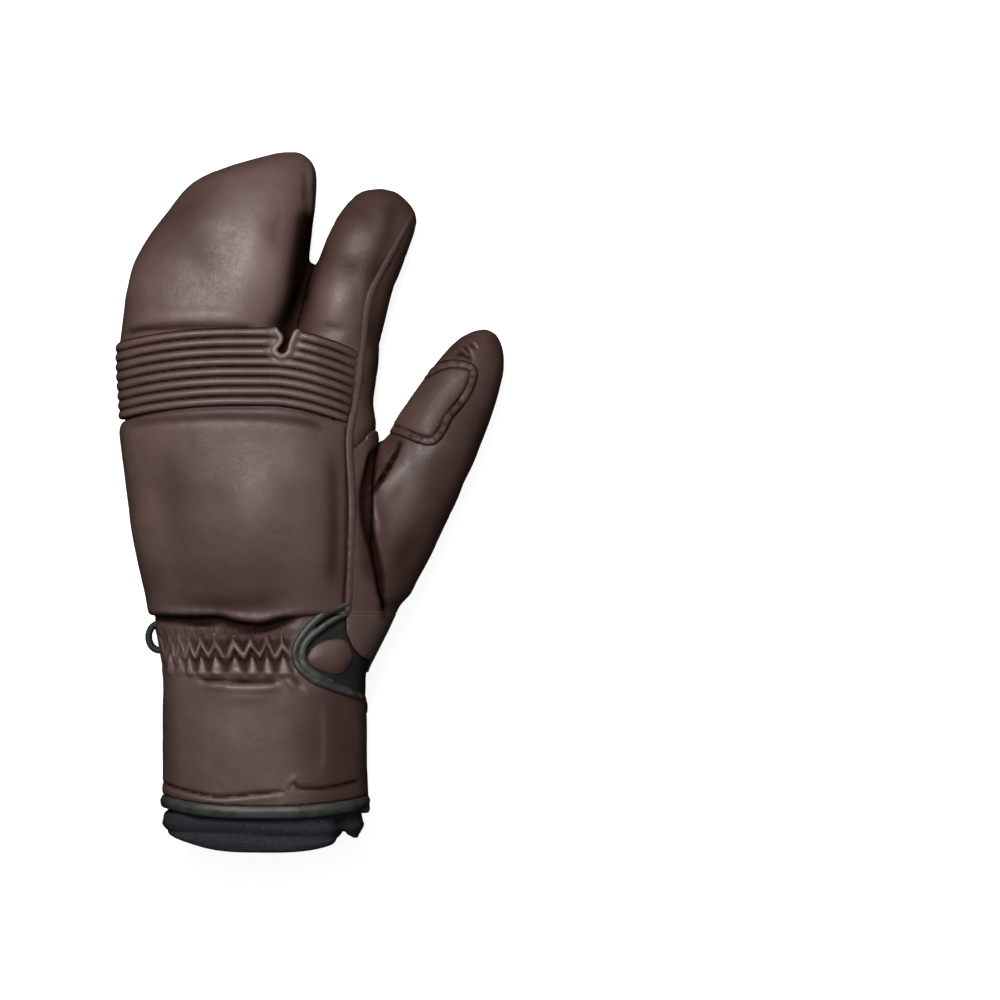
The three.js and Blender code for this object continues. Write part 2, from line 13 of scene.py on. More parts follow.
import bpy
import numpy as np
import openvdb
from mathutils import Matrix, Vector

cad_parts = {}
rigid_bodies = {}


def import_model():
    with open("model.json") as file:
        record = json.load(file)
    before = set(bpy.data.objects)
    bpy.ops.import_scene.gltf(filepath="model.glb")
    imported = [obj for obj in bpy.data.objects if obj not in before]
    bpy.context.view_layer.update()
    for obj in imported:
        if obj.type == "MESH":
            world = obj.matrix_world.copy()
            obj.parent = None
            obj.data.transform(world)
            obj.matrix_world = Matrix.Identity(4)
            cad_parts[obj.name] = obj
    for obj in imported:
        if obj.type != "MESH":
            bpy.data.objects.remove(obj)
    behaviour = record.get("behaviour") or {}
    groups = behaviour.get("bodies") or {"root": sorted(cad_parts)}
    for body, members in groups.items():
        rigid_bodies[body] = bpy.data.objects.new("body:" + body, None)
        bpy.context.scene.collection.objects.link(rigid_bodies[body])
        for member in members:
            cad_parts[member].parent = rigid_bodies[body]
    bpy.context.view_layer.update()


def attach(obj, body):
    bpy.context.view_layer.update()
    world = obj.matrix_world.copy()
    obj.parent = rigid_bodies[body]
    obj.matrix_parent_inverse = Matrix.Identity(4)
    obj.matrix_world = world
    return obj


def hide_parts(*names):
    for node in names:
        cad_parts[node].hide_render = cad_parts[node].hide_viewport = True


for leftover in list(bpy.data.objects):
    bpy.data.objects.remove(leftover)
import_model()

MM = 0.001
TURN = 2 * math.pi
SHIFT = np.array([-18.67, -72.5, 0.0])      # design frame to row frame
PIXEL = 0.42                                # millimetres of the mitt to a pixel of the photograph
ZERO_SPOT = (265, 672)                      # where the design frame's zero is in the photograph
COARSE = 1.0         # larger cells while trying things

# Driving sizes, as in the part's source

PALM_WIDTH = 108
HAND_LENGTH = 194
HAND_THICKNESS = 48
GATHER_DEPTH = 25
WALL = 3.0
CUFF_WIDTH = 86
CUFF_THICKNESS = 51
CUFF_DEPTH = 74
HEM_RISE = 11
STRAP_HEIGHT = 59
STRAP_REACH = 47
COVER = 2.6                                 # leather of the gathers and of the strap
SLEEVE = 3.0
SLEEVE_FLOOR = 4.2
SLEEVE_TUCK = 7
EDGING_WIDTH = 5.4
DEEPEST = 2.3                               # no fold goes in further than this
RIB_COUNT = 8
RIB_PITCH = 4.1
RIB_TOP = GATHER_DEPTH + 0.613 * HAND_LENGTH
RIB_BASE = 0.2
RIB_HEIGHT = 2.1
PAD_LIFT = 3.4
WIDEST = 0.45                               # level of a section's widest point
SEAM_LEVEL = 0.42 * HAND_THICKNESS          # where the back's seams and the palm's meet
NOTCH_LEVEL = 0.42 * CUFF_THICKNESS         # the notch's lowest level at the thumb side
STRAP_LEVEL = WIDEST * CUFF_THICKNESS       # where the strap's back meets its tab
EDGE = 1.3                                  # radius of a panel's edge where it rolls into a seam

# Sections as shares of a limb's length, width and thickness:
# at, left, right, top, bottom, power

CUFF_SHARE = 0.5 * CUFF_WIDTH / PALM_WIDTH
CUFF_TOP = CUFF_THICKNESS / HAND_THICKNESS
HAND_ROWS = [
    (-0.60, -CUFF_SHARE, CUFF_SHARE, CUFF_TOP, -0.021, 2.5),
    (-GATHER_DEPTH / HAND_LENGTH, -CUFF_SHARE, CUFF_SHARE, CUFF_TOP, -0.021, 2.5),
    (0.00, -0.443, 0.515, 0.99, -0.03, 2.3),
    (0.05, -0.453, 0.53, 1.01, -0.03, 2.3),
    (0.11, -0.477, 0.54, 1.03, -0.03, 2.3),
    (0.20, -0.504, 0.535, 1.04, -0.03, 2.3),
    (0.29, -0.522, 0.495, 1.03, -0.03, 2.3),
    (0.37, -0.537, 0.426, 1.01, -0.03, 2.3),
    (0.44, -0.552, 0.405, 1.00, -0.03, 2.3),
    (0.485, -0.56, 0.38, 1.00, -0.03, 2.25),
    (0.515, -0.565, 0.31, 0.99, -0.03, 2.2),
    (0.545, -0.568, 0.20, 0.98, -0.03, 2.15),
    (0.58, -0.566, 0.135, 0.97, -0.03, 2.15),
    (0.63, -0.555, 0.135, 0.95, -0.03, 2.15),
    (0.69, -0.542, 0.16, 0.91, -0.03, 2.15),
    (0.75, -0.522, 0.188, 0.87, -0.03, 2.15),
    (0.80, -0.478, 0.199, 0.83, -0.03, 2.15),
    (0.84, -0.427, 0.203, 0.78, -0.02, 2.15),
    (0.88, -0.37, 0.206, 0.72, -0.02, 2.15),
    (0.915, -0.325, 0.206, 0.66, 0.0, 2.15),
    (0.94, -0.275, 0.205, 0.60, 0.02, 2.1),
    (0.96, -0.205, 0.20, 0.54, 0.05, 2.1),
    (0.98, -0.105, 0.18, 0.46, 0.11, 2.0),
    (0.992, -0.015, 0.16, 0.38, 0.17, 2.0),
    (1.00, 0.035, 0.135, 0.31, 0.23, 2.0),
]
INDEX_ROWS = [
    (0.00, -0.50, 0.50, 1.10, -0.03, 2.3),
    (0.20, -0.52, 0.55, 1.08, -0.03, 2.3),
    (0.40, -0.55, 0.465, 1.03, -0.03, 2.25),
    (0.60, -0.56, 0.435, 0.98, -0.03, 2.2),
    (0.75, -0.525, 0.465, 0.92, -0.02, 2.2),
    (0.85, -0.465, 0.485, 0.84, 0.00, 2.15),
    (0.91, -0.39, 0.485, 0.77, 0.03, 2.1),
    (0.95, -0.315, 0.42, 0.69, 0.07, 2.0),
    (0.98, -0.21, 0.31, 0.59, 0.13, 2.0),
    (1.00, -0.05, 0.16, 0.45, 0.22, 2.0),
]
THUMB_ROWS = [
    (-0.25, -0.50, 0.54, 1.04, -0.03, 2.3),
    (0.00, -0.50, 0.555, 1.06, -0.03, 2.3),
    (0.175, -0.50, 0.555, 1.05, -0.03, 2.3),
    (0.35, -0.47, 0.53, 1.01, -0.03, 2.25),
    (0.52, -0.475, 0.50, 0.97, -0.03, 2.2),
    (0.70, -0.42, 0.44, 0.90, -0.02, 2.2),
    (0.80, -0.38, 0.39, 0.84, -0.01, 2.15),
    (0.88, -0.32, 0.33, 0.77, 0.01, 2.1),
    (0.94, -0.25, 0.25, 0.68, 0.07, 2.0),
    (0.98, -0.16, 0.16, 0.58, 0.14, 2.0),
    (1.00, -0.07, 0.07, 0.48, 0.24, 2.0),
]
RIB_ROWS = [
    (0.40, -0.552, 0.45, 1.00, 0.00, 2.5),
    (0.443, -0.552, 0.45, 1.00, 0.00, 2.5),
    (0.613, -0.556, 0.49, 0.96, 0.00, 3.0),
    (0.66, -0.556, 0.49, 0.95, 0.00, 3.0),
]

# Seams and outlines in plan, as shares across and along a limb

POCKET_SEAM = [(-0.70, 0.435), (-0.415, 0.446), (-0.20, 0.487), (0.00, 0.524), (0.20, 0.555)]
INDEX_SEAM = [(0.08, 0.60), (0.12, 0.53), (0.215, 0.385), (0.30, 0.355), (0.50, 0.345)]
THUMB_BACK_SEAM = [
    (0.60, 0.59), (0.50, 0.46), (0.438, 0.357), (0.42, 0.225),
    (0.428, 0.12), (0.465, 0.00), (0.465, -0.10),
]
THUMB_PALM_SEAM = [
    (0.60, 0.59), (0.50, 0.46), (0.43, 0.366), (0.222, 0.378), (0.095, 0.295),
    (0.06, 0.215), (0.075, 0.12), (0.16, 0.00), (0.16, -0.10),
]
SIDE_SEAM = [
    (0.578, 0.868), (0.52, 0.81), (0.455, 0.74), (0.40, 0.673), (0.377, 0.558),
    (0.355, 0.46), (0.328, 0.38), (0.338, 0.25), (0.335, 0.13), (0.323, 0.01),
]
THUMB_PATCH = [
    (418, 372), (443, 361), (460, 360), (473, 364), (478, 374), (473, 391), (463, 407), (453, 419),
    (447, 431), (438, 443), (429, 446), (418, 444), (402, 437), (386, 430), (384, 415),
]       # its left side is out of sight round the thumb
TAB_PATH = [
    (0.50, -0.14), (0.00, -0.20), (-0.86, -0.38), (-0.98, -0.43), (-1.00, -0.50),
    (-1.00, -0.90), (-0.94, -0.97), (-0.80, -1.00), (0.50, -1.00),
]

# The notch and its tongue

NOTCH_RIM = [
    (350, 603), (340, 606), (326, 612), (312, 624), (302, 637), (298, 648), (299, 659), (305, 668),
    (314, 675), (326, 681), (340, 686), (353, 691), (364, 696),
]
NOTCH_FAR_SIDE = [(386, 694), (386, 668), (374, 663), (362, 656), (353, 645), (347, 630), (347, 610)]
NOTCH_INNER = [
    (348, 613), (338, 617), (325, 625), (314, 634), (307, 643), (305, 652), (307, 661), (313, 668),
    (322, 674), (334, 679),
]
NOTCH_TONGUE = [
    (308, 655), (311, 648), (317, 642), (325, 638), (335, 636), (346, 637), (352, 644), (355, 655),
    (351, 666), (344, 673), (335, 674), (325, 671), (315, 666), (309, 660),
]

# Curves and distances in plan


def smooth_path(points, pieces=6):
    """A curve through the points."""
    points = np.asarray(points, float)
    ends = np.vstack([2 * points[0] - points[1], points, 2 * points[-1] - points[-2]])
    t = (np.arange(pieces) / pieces)[:, None]
    spans = [
        0.5 * (2 * b + (c - a) * t + (2 * a - 5 * b + 4 * c - d) * t**2 + (3 * b - a - 3 * c + d) * t**3)
        for a, b, c, d in zip(ends, ends[1:], ends[2:], ends[3:])
    ]
    return np.vstack([*spans, points[-1:]])


def from_photo(spots):
    """Points in plan for spots of the photograph."""
    return (np.asarray(spots, float) - ZERO_SPOT) * (PIXEL, -PIXEL)


def photo_path(spots, pieces=6):
    return smooth_path(from_photo(spots), pieces)


def photo_ring(spots, pieces=6):
    """A closed outline through spots."""
    return photo_path(spots + spots[:1], pieces)[:-1]


def measured(path):
    """How far along a path each of its points is."""
    return np.concatenate([[0], np.cumsum(np.linalg.norm(np.diff(path, axis=0), axis=1))])


def unit(vectors):
    return vectors / np.maximum(np.linalg.norm(vectors, axis=-1, keepdims=True), 1e-6)


def beside(path, offset):
    """A path shifted sideways, to its left where the offset is positive."""
    ahead = unit(np.gradient(path, axis=0))
    return path + offset * np.stack([-ahead[:, 1], ahead[:, 0]], axis=1)


def nearest_on_path(x, y, path):
    """For points in plan: distance to a path, how far along it the nearest spot is, its length."""
    best = np.full(x.shape, 1e9)
    along = np.zeros(x.shape)
    done = 0.0
    for start, end in zip(path[:-1], path[1:]):
        step = end - start
        length = math.hypot(*step)
        if length < 1e-9:
            continue
        share = np.clip(((x - start[0]) * step[0] + (y - start[1]) * step[1]) / length**2, 0, 1)
        apart = np.hypot(x - start[0] - share * step[0], y - start[1] - share * step[1])
        nearer = apart < best
        best = np.where(nearer, apart, best)
        along = np.where(nearer, done + share * length, along)
        done += length
    return best, along, done


def inside_outline(x, y, outline):
    """Signed distance in plan to a closed outline, negative inside."""
    closed = np.vstack([outline, outline[:1]])
    apart = nearest_on_path(x, y, closed)[0]
    inside = np.zeros(x.shape, bool)
    for (x0, y0), (x1, y1) in zip(closed[:-1], closed[1:]):
        if y0 != y1:
            spans = (y0 > y) != (y1 > y)
            inside ^= spans & (x < x0 + (y - y0) * (x1 - x0) / (y1 - y0))
    return np.where(inside, -apart, apart)


def smooth_step(value, low, high):
    share = np.clip((value - low) / (high - low), 0, 1)
    return share * share * (3 - 2 * share)


def bell(value, width):
    return np.exp(-((value / width) ** 2))


def smooth_min(a, b, reach):
    blend = np.maximum(reach - np.abs(a - b), 0) / reach
    return np.minimum(a, b) - blend * blend * reach / 4


def smooth_max(a, b, reach):
    return -smooth_min(-a, -b, reach)


def trimmed(field, *limits):
    """A field kept where every limit is negative; each limit comes with the reach of its edge."""
    for limit, reach in limits:
        field = smooth_max(field, limit, reach)
    return field


# Limbs


class Limb:
    """A stack of sections along a leaning line in plan."""

    def __init__(self, x, y, lean, length, width, thickness, rows):
        self.root = (x, y)
        lean = math.radians(lean)
        self.turned = np.array([[math.cos(lean), -math.sin(lean)], [math.sin(lean), math.cos(lean)]])
        self.length = length
        self.width = width
        table = np.array(rows)
        self.at = np.linspace(table[0, 0], table[-1, 0], 1200)
        spread = 1.6 / length / (self.at[1] - self.at[0])
        self.columns = [
            self.softened(np.interp(self.at, table[:, 0], values) * scale, spread)
            for values, scale in zip(table[:, 1:].T, (width, width, thickness, thickness, 1))
        ]

    @staticmethod
    def softened(values, spread):
        reach = int(3 * spread) + 1
        kernel = np.exp(-0.5 * (np.arange(-reach, reach + 1) / spread) ** 2)
        padded = np.pad(values, reach, mode="reflect", reflect_type="odd")
        return np.convolve(padded, kernel / kernel.sum(), mode="valid")

    def spot(self, shares):
        """Points in plan for shares across and along the limb."""
        return np.asarray(shares, float) * (self.width, self.length) @ self.turned + self.root

    def distance(self, space):
        """Rough signed distance to the limb's skin, negative inside."""
        east = space.x - self.root[0]
        north = space.y - self.root[1]
        across, along = (east * a + north * b for a, b in self.turned)
        left, right, top, bottom, power = (
            np.interp(along / self.length, self.at, column) for column in self.columns
        )
        half = np.maximum((right - left) / 2, 0.3)
        level = bottom + WIDEST * (top - bottom)
        side = across - (left + right) / 2
        rise = space.z - level
        reach = np.where(rise > 0, top - level, level - bottom)
        ratio = ((np.abs(side) / half) ** power + (np.abs(rise) / reach) ** power) ** (1 / power)
        skin = np.hypot(side, rise) * (1 - 1 / np.maximum(ratio, 0.15))
        return smooth_max(skin, along - self.at[-1] * self.length, 1.5)


HAND_SIZES = (0, GATHER_DEPTH, 0, HAND_LENGTH, PALM_WIDTH, HAND_THICKNESS)
HAND = Limb(*HAND_SIZES, HAND_ROWS)
RIB_LIMB = Limb(*HAND_SIZES, RIB_ROWS)
INDEX = Limb(
    0.198 * PALM_WIDTH, GATHER_DEPTH + 0.415 * HAND_LENGTH, 16.5, 102, 34, 36, INDEX_ROWS
)
THUMB = Limb(
    0.412 * PALM_WIDTH, GATHER_DEPTH + 0.112 * HAND_LENGTH, 27.5, 109, 38, 36, THUMB_ROWS
)


# Space cut into cubes


class Volume:
    """A block of space with a grid of nodes."""

    def __init__(self, low, high, step):
        self.low = np.asarray(low, float)
        self.step = step
        counts = np.ceil((np.asarray(high, float) - self.low) / step).astype(int) + 1
        self.axes = [self.low[i] + step * np.arange(counts[i]) for i in range(3)]
        self.x = self.axes[0][:, None, None]
        self.y = self.axes[1][None, :, None]
        self.z = self.axes[2][None, None, :]
        self.plan = np.meshgrid(*self.axes[:2], indexing="ij")

    def near(self, path):
        """Distance in plan to a path, how far along it the nearest spot is, its length."""
        apart, along, length = nearest_on_path(*self.plan, path)
        return apart[:, :, None], along[:, :, None], length

    def inside(self, outline):
        return inside_outline(*self.plan, outline)[:, :, None]

    def resample(self, field, source):
        """Values here of a field on another volume's grid."""
        for axis in range(3):
            place = (self.axes[axis] - source.low[axis]) / source.step
            base = np.clip(np.floor(place).astype(int), 0, field.shape[axis] - 2)
            shape = [1, 1, 1]
            shape[axis] = -1
            share = np.clip(place - base, 0, 1).reshape(shape).astype(np.float32)
            near = np.take(field, base, axis=axis)
            field = near + share * (np.take(field, base + 1, axis=axis) - near)
        return field

    def surface(self, field):
        """Points and quads where the field is zero."""
        outside = 3.0
        sealed = np.full([len(axis) + 2 for axis in self.axes], outside, np.float32)
        sealed[1:-1, 1:-1, 1:-1] = field
        grid = openvdb.FloatGrid()
        grid.background = outside
        grid.copyFromArray(sealed)
        points, quads = grid.convertToQuads(isovalue=0.0)
        return np.asarray(points, float) * self.step + self.low - self.step, np.asarray(quads)


CORNERS = list(itertools.product((0, 1), repeat=3))


def blend_corners(share, value_at):
    """Values between the eight nodes round each point."""
    total = np.zeros(len(share))
    for corner in CORNERS:
        total += np.prod(np.where(corner, share, 1 - share), axis=1) * value_at(corner)
    return total


# The whole skin of hand, wrist and cuff, with no seams

SPACE = Volume((-70, -82, -4), (106, 226, 58), 0.8 * COARSE)

# The gap between the pocket and the index finger, which closes in a V at the ribs:
# spot, half width on top, lowest level of its bottom

FINGER_GAP = [
    ((321, 250), 1.6, 17),
    ((310, 276), 2.6, 17),
    ((301, 298), 4.4, 18),
    ((293, 320), 4.6, 20),
    ((288, 338), 3.6, 25),
    ((287, 348), 2.2, 31),
]
GAP_TOP = 44

# Filled corners: the side wall low in the gap between the fingers, and the index finger's root.
# Spot and level in millimetres

FINGER_WEB = [((313, 277), 9), ((306, 292), 10), ((300, 312), 12), ((294, 332), 16)]
WEB_RADIUS = 6.0
ROOT_FILL = [((355, 365), 17), ((353, 385), 18), ((353, 405), 19), ((356, 428), 20)]
ROOT_RADIUS = 8.0

# Where the pocket's back turns down steeply on the index finger's side

FLANK = [
    (309, 150), (307, 175), (302, 198), (295, 220), (290, 243), (286, 266), (282, 288), (276, 308),
    (268, 324), (260, 340), (253, 360),
]
FLANK_SLOPE = 3.0


def tube_distance(stations, radius):
    """Rough distance to an upright oval tube along a path in plan."""
    spots, levels = zip(*stations)
    apart, along, length = SPACE.near(from_photo(spots))
    level = np.interp(along, np.linspace(0, length, len(levels)), levels)
    return np.hypot(apart, 0.6 * (SPACE.z - level)) - radius


def steep_flank(hand):
    path = photo_path(FLANK)
    across = -SPACE.inside(np.vstack([path, [(80, path[-1, 1]), (80, path[0, 1])]]))
    level = np.interp(SPACE.y, (140, 160, 185, 215), (43, 43, 40, 30))
    ramp = (SPACE.z - (level - FLANK_SLOPE * across)) / math.hypot(1, FLANK_SLOPE)
    here = smooth_step(SPACE.y, 128, 146)
    return smooth_max(hand, ramp * here - 12 * (1 - here), 5.0)


def cut_gap(whole):
    spots, halves, bottoms = zip(*FINGER_GAP)
    path = from_photo(spots)
    apart, along, _ = SPACE.near(path)
    half = np.interp(along, measured(path), halves)
    bottom = np.interp(along, measured(path), bottoms)
    narrowing = np.clip((GAP_TOP - SPACE.z) / (GAP_TOP - bottom), 0, 1)
    wedge = smooth_max(apart - half * (1 - 0.75 * narrowing), bottom - SPACE.z, 4.0)
    return smooth_max(whole, -wedge, 3.0)


def blurred(field, passes):
    for _ in range(passes):
        for axis in range(3):
            field = np.moveaxis(field, axis, 0)
            field[1:-1] = 0.25 * (field[:-2] + field[2:]) + 0.5 * field[1:-1]
            field = np.moveaxis(field, 0, axis)
    return field


def build_skin():
    """Signed distance to the skin: the parts are joined first, then measured again exactly."""
    index = INDEX.distance(SPACE) + 40 * (1 - smooth_step(SPACE.y, 90, 100))
    thumb = THUMB.distance(SPACE) + 12 * (1 - smooth_step(SPACE.y, GATHER_DEPTH - 4, GATHER_DEPTH + 8))
    whole = smooth_min(steep_flank(HAND.distance(SPACE)), index, 3.0)
    whole = smooth_min(whole, tube_distance(FINGER_WEB, WEB_RADIUS), 2.0)
    whole = smooth_min(whole, tube_distance(ROOT_FILL, ROOT_RADIUS), 5.0)
    whole = cut_gap(smooth_min(whole, thumb, 7.5))
    whole = smooth_max(blurred(whole.astype(np.float32), 3), -SPACE.z, 1.0)
    points, quads = SPACE.surface(whole)
    grid = openvdb.FloatGrid.createLevelSetFromPolygons(
        ((points - SPACE.low) / SPACE.step).astype(np.float32),
        quads=quads.astype(np.uint32),
        halfWidth=9.0 / SPACE.step,
    )
    exact = np.zeros(whole.shape, np.float32)
    grid.copyToArray(exact)
    return exact * SPACE.step


skin = build_skin()


def skin_at(points):
    place = (points - SPACE.low) / SPACE.step
    base = np.clip(np.floor(place).astype(int), 0, np.array(skin.shape) - 2)
    share = np.clip(place - base, 0, 1)
    return blend_corners(share, lambda corner: skin[tuple((base + corner).T)])


def outward(points):
    """Unit direction out of the skin."""
    steps = 1.5 * np.eye(3)
    return unit(np.stack([skin_at(points + step) - skin_at(points - step) for step in steps], axis=1))


def on_back(x, y, lift):
    """Points on the skin straight above places in plan, raised by a lift along the normal."""
    z = np.full(len(x), 4.0)
    found = np.zeros(len(x), bool)
    for height in np.arange(58.0, 2.0, -0.5):
        inside = skin_at(np.stack([x, y, np.full(len(x), height)], axis=1)) < lift
        z = np.where(inside & ~found, height, z)
        found |= inside
    points = np.stack([x, y, z], axis=1)
    for _ in range(3):
        points = points - (skin_at(points) - lift)[:, None] * outward(points)
    return points


def under_palm(x, y, lift):
    points = np.stack([x, y, np.full(len(x), 1.5)], axis=1)
    for _ in range(4):
        points[:, 2] -= np.clip(lift - skin_at(points), -1, 1) * 0.9
    return points

# Relief: creases, ridges and small unevenness, in millimetres along the skin's direction.
# A fold has the spots of its path, its half width and its height in millimetres, and for some
# a pucker, a share of the height that comes and goes along it.

BACK_FOLDS = [
    # the pocket
    ([(308, 158), (311, 175), (312, 200), (310, 222)], 0.9, 0.5),
    ([(303, 165), (306, 185), (305, 208)], 1.2, -0.4),
    ([(262, 200), (256, 245), (252, 312)], 8.0, 1.2),
    ([(279, 210), (276, 236), (270, 262)], 4.5, -0.9),
    ([(122, 334), (150, 330), (200, 329), (262, 330)], 1.1, -1.4),
    ([(122, 324), (150, 319), (200, 317), (262, 319)], 3.4, 0.8),
    ([(150, 240), (190, 205), (235, 180)], 7.0, -0.6),
    ([(170, 225), (200, 250), (215, 290)], 9.0, -0.6),
    ([(140, 262), (152, 290), (150, 318)], 6.0, 0.6),
    # the index finger
    ([(308, 329), (330, 329), (350, 333)], 1.8, -0.6),
    ([(310, 319), (330, 316), (350, 321)], 3.6, 0.4),
    ([(322, 262), (350, 268), (374, 272)], 5.0, -0.9),
    ([(316, 292), (338, 298), (358, 296)], 7.0, 1.6),
    ([(345, 205), (360, 215), (385, 228)], 6.0, -0.5),
    # the thumb
    ([(459, 347), (468, 357)], 1.0, 1.3),
    ([(464, 343), (473, 353)], 1.0, 1.4),
    ([(470, 341), (479, 347)], 1.0, 1.0),
    ([(461, 344), (471, 356)], 0.6, -1.2),
    ([(467, 341), (477, 350)], 0.6, -1.2),
    ([(452, 356), (462, 354), (474, 361)], 0.9, -1.4),
    ([(374, 447), (371, 470), (367, 497), (368, 516), (371, 533), (377, 554), (382, 580),
      (382, 600)], 1.7, -2.0),
    ([(376, 445), (371, 468), (367, 497)], 1.2, -1.2),
    ([(400, 443), (394, 456), (388, 469), (381, 481), (375, 491)], 0.85, -1.7, 0.35),
    ([(376, 500), (379, 520), (383, 545)], 2.0, 1.0),
    ([(402, 460), (392, 485), (384, 505)], 4.0, 1.0),
    ([(400, 600), (404, 560), (424, 510)], 5.0, -0.7),
    ([(418, 470), (432, 452), (452, 440)], 4.0, 0.6),
    # the padded back and the strip beside it
    ([(120, 425), (170, 420), (235, 417), (300, 421), (338, 431)], 2.2, -0.9),
    ([(160, 598), (225, 604), (300, 597)], 4.0, -0.45),
    ([(160, 611), (205, 611), (262, 617), (310, 609)], 1.6, 0.5, 0.2),
    ([(262, 430), (258, 490), (254, 560)], 10.0, 0.7),
    ([(334, 445), (337, 520), (334, 596)], 3.0, -0.7),
    ([(367, 460), (365, 500), (368, 550), (376, 600)], 3.0, -0.8),
    ([(138, 470), (152, 520), (158, 570)], 7.0, 0.6),
    ([(180, 440), (172, 500), (178, 560)], 9.0, -0.5),
    # the wrist and the strap
    ([(186, 622), (205, 622), (222, 624)], 1.3, -1.1),
    ([(238, 630), (262, 629), (286, 623)], 1.3, -1.1),
    ([(146, 617), (192, 618), (224, 617), (236, 621), (262, 625), (282, 620), (304, 615)], 1.7, -2.0),
    ([(222, 628), (219, 634), (220, 642)], 1.4, 0.9),
    ([(200, 677), (240, 679), (284, 679)], 0.9, -1.3),
    ([(238, 678), (248, 679), (256, 678)], 0.8, -0.7),
    ([(206, 682), (228, 684), (252, 685), (286, 684)], 1.5, 1.5),
    ([(206, 688), (228, 691), (252, 692), (286, 690)], 3.2, 0.9),
    ([(286, 672), (293, 681), (300, 691)], 1.2, 0.9),
    ([(292, 670), (299, 679), (308, 688)], 1.0, -0.9),
    ([(300, 678), (308, 688), (313, 698)], 1.2, 0.7),
    ([(160, 780), (183, 786), (214, 792), (234, 792), (262, 789), (288, 787)], 0.75, -1.1),
    ([(289, 787), (296, 779), (300, 782), (304, 784), (330, 784), (362, 778)], 0.75, -1.0),
    ([(160, 785), (183, 790), (214, 796), (234, 796), (262, 794), (288, 791)], 1.2, 0.25),
    ([(291, 786), (296, 776), (301, 770)], 1.2, 0.7),
    ([(326, 700), (327, 735), (325, 775)], 1.4, 0.4),
    ([(300, 700), (306, 735), (304, 770)], 6.0, -0.3),
    ([(240, 700), (236, 735), (240, 770)], 9.0, 0.5),
]

# On the palm a fold only goes inwards, because the palm lies on the floor
PALM_FOLDS = [
    ([(135, 353), (152, 349), (177, 338), (209, 324), (240, 313), (268, 309),
      (284, 311)], 0.9, -1.0, 0.3),
    ([(150, 424), (190, 417), (232, 396), (275, 392), (300, 402)], 4.0, -1.3),
    ([(176, 452), (225, 432), (275, 440), (305, 462)], 4.5, -1.5),
    ([(195, 478), (236, 470), (262, 496), (282, 530)], 4.5, -1.6),
    ([(185, 560), (222, 548), (262, 560)], 5.0, -1.2),
    ([(190, 598), (222, 590), (262, 612), (300, 640)], 5.0, -1.6),
    ([(176, 620), (198, 622), (222, 645)], 2.6, -1.2),
    ([(330, 293), (352, 291), (372, 293)], 0.9, -0.9),
    ([(326, 345), (350, 341), (385, 345)], 1.1, -1.2),
    ([(312, 385), (316, 410), (308, 430)], 2.0, -1.2),
    ([(330, 395), (336, 425), (330, 448)], 2.4, -1.6),
    ([(352, 400), (362, 430), (366, 452)], 3.0, -2.2),
    ([(334, 462), (348, 476), (366, 470), (374, 455)], 2.6, -2.8),
    ([(316, 520), (332, 506), (352, 496), (370, 480)], 2.4, -2.6),
    ([(300, 492), (316, 484), (330, 486)], 1.8, -1.0),
    ([(322, 468), (326, 484), (340, 494)], 1.6, -1.4),
    ([(380, 520), (392, 512), (402, 520)], 2.4, -1.3),
    ([(372, 545), (386, 540), (400, 528)], 2.2, -1.2),
    ([(384, 478), (394, 492), (402, 508)], 1.8, -1.0),
    ([(402, 430), (412, 448), (410, 470)], 2.4, -1.0),
]
# Broad patches of painted shade, or of painted highlight where the amount is below zero:
# spot, half width and half height in millimetres, amount

PAINTED_SHADE_AND_HIGHLIGHT_PATCHES = [
    (250, 268, 9, 22, -0.22),
    (330, 296, 9, 12, -0.20),
    (245, 590, 60, 16, 0.38),
    (235, 632, 50, 8, 0.2),
    (388, 205, 14, 12, 0.22),
    (372, 300, 6, 40, 0.25),
    (470, 460, 18, 30, 0.28),
    (415, 545, 26, 28, 0.1),
    (350, 243, 8, 9, 0.14),
    (270, 262, 7, 28, -0.42),
    (222, 275, 13, 20, 0.08),
    (165, 280, 14, 26, 0.12),
    (343, 327, 4, 3, 0.3),
    (430, 482, 10, 16, 0.2),
    (495, 345, 14, 14, 0.20),
    (330, 500, 9, 40, 0.18),
    (362, 540, 8, 50, 0.06),
    (168, 735, 5, 30, 0.16),
    (384, 464, 5, 9, 0.35),
    (438, 402, 14, 16, 0.34),
    (245, 502, 34, 34, 0.42),
    (240, 740, 30, 20, 0.12),
    (460, 354, 6, 5, 0.2),
]

# Lines of painted shade with no height: the path's spots, half width in millimetres, amount

PAINTED_SHADE_LINES = [
    ([(308, 222), (303, 250), (299, 275), (296, 300), (290, 322), (285, 342)], 4.4, 1.8),
    ([(315, 254), (309, 274), (304, 296)], 2.2, 0.9),
    ([(392, 212), (386, 240), (378, 265), (370, 300), (368, 340)], 3.6, 0.45),
    ([(352, 400), (350, 430), (348, 480), (347, 560), (345, 600)], 1.0, 0.5),
    ([(374, 447), (369, 475), (368, 516), (372, 540), (379, 575), (384, 615)], 1.6, 0.7),
    ([(400, 443), (388, 469), (376, 490)], 1.2, 0.8),
    ([(186, 622), (222, 623), (250, 629), (286, 624)], 1.6, 0.3),
    ([(340, 700), (340, 745), (340, 790)], 14, 0.68),
]

PANEL_SEAMS = {
    "pocket": smooth_path(HAND.spot(POCKET_SEAM)),
    "index": smooth_path(HAND.spot(INDEX_SEAM)),
    "thumb_back": smooth_path(HAND.spot(THUMB_BACK_SEAM)),
    "thumb_palm": smooth_path(HAND.spot(THUMB_PALM_SEAM)),
}

NOISE_SIZE = 48
noise_table = np.random.default_rng(7).uniform(-1, 1, (NOISE_SIZE,) * 3)


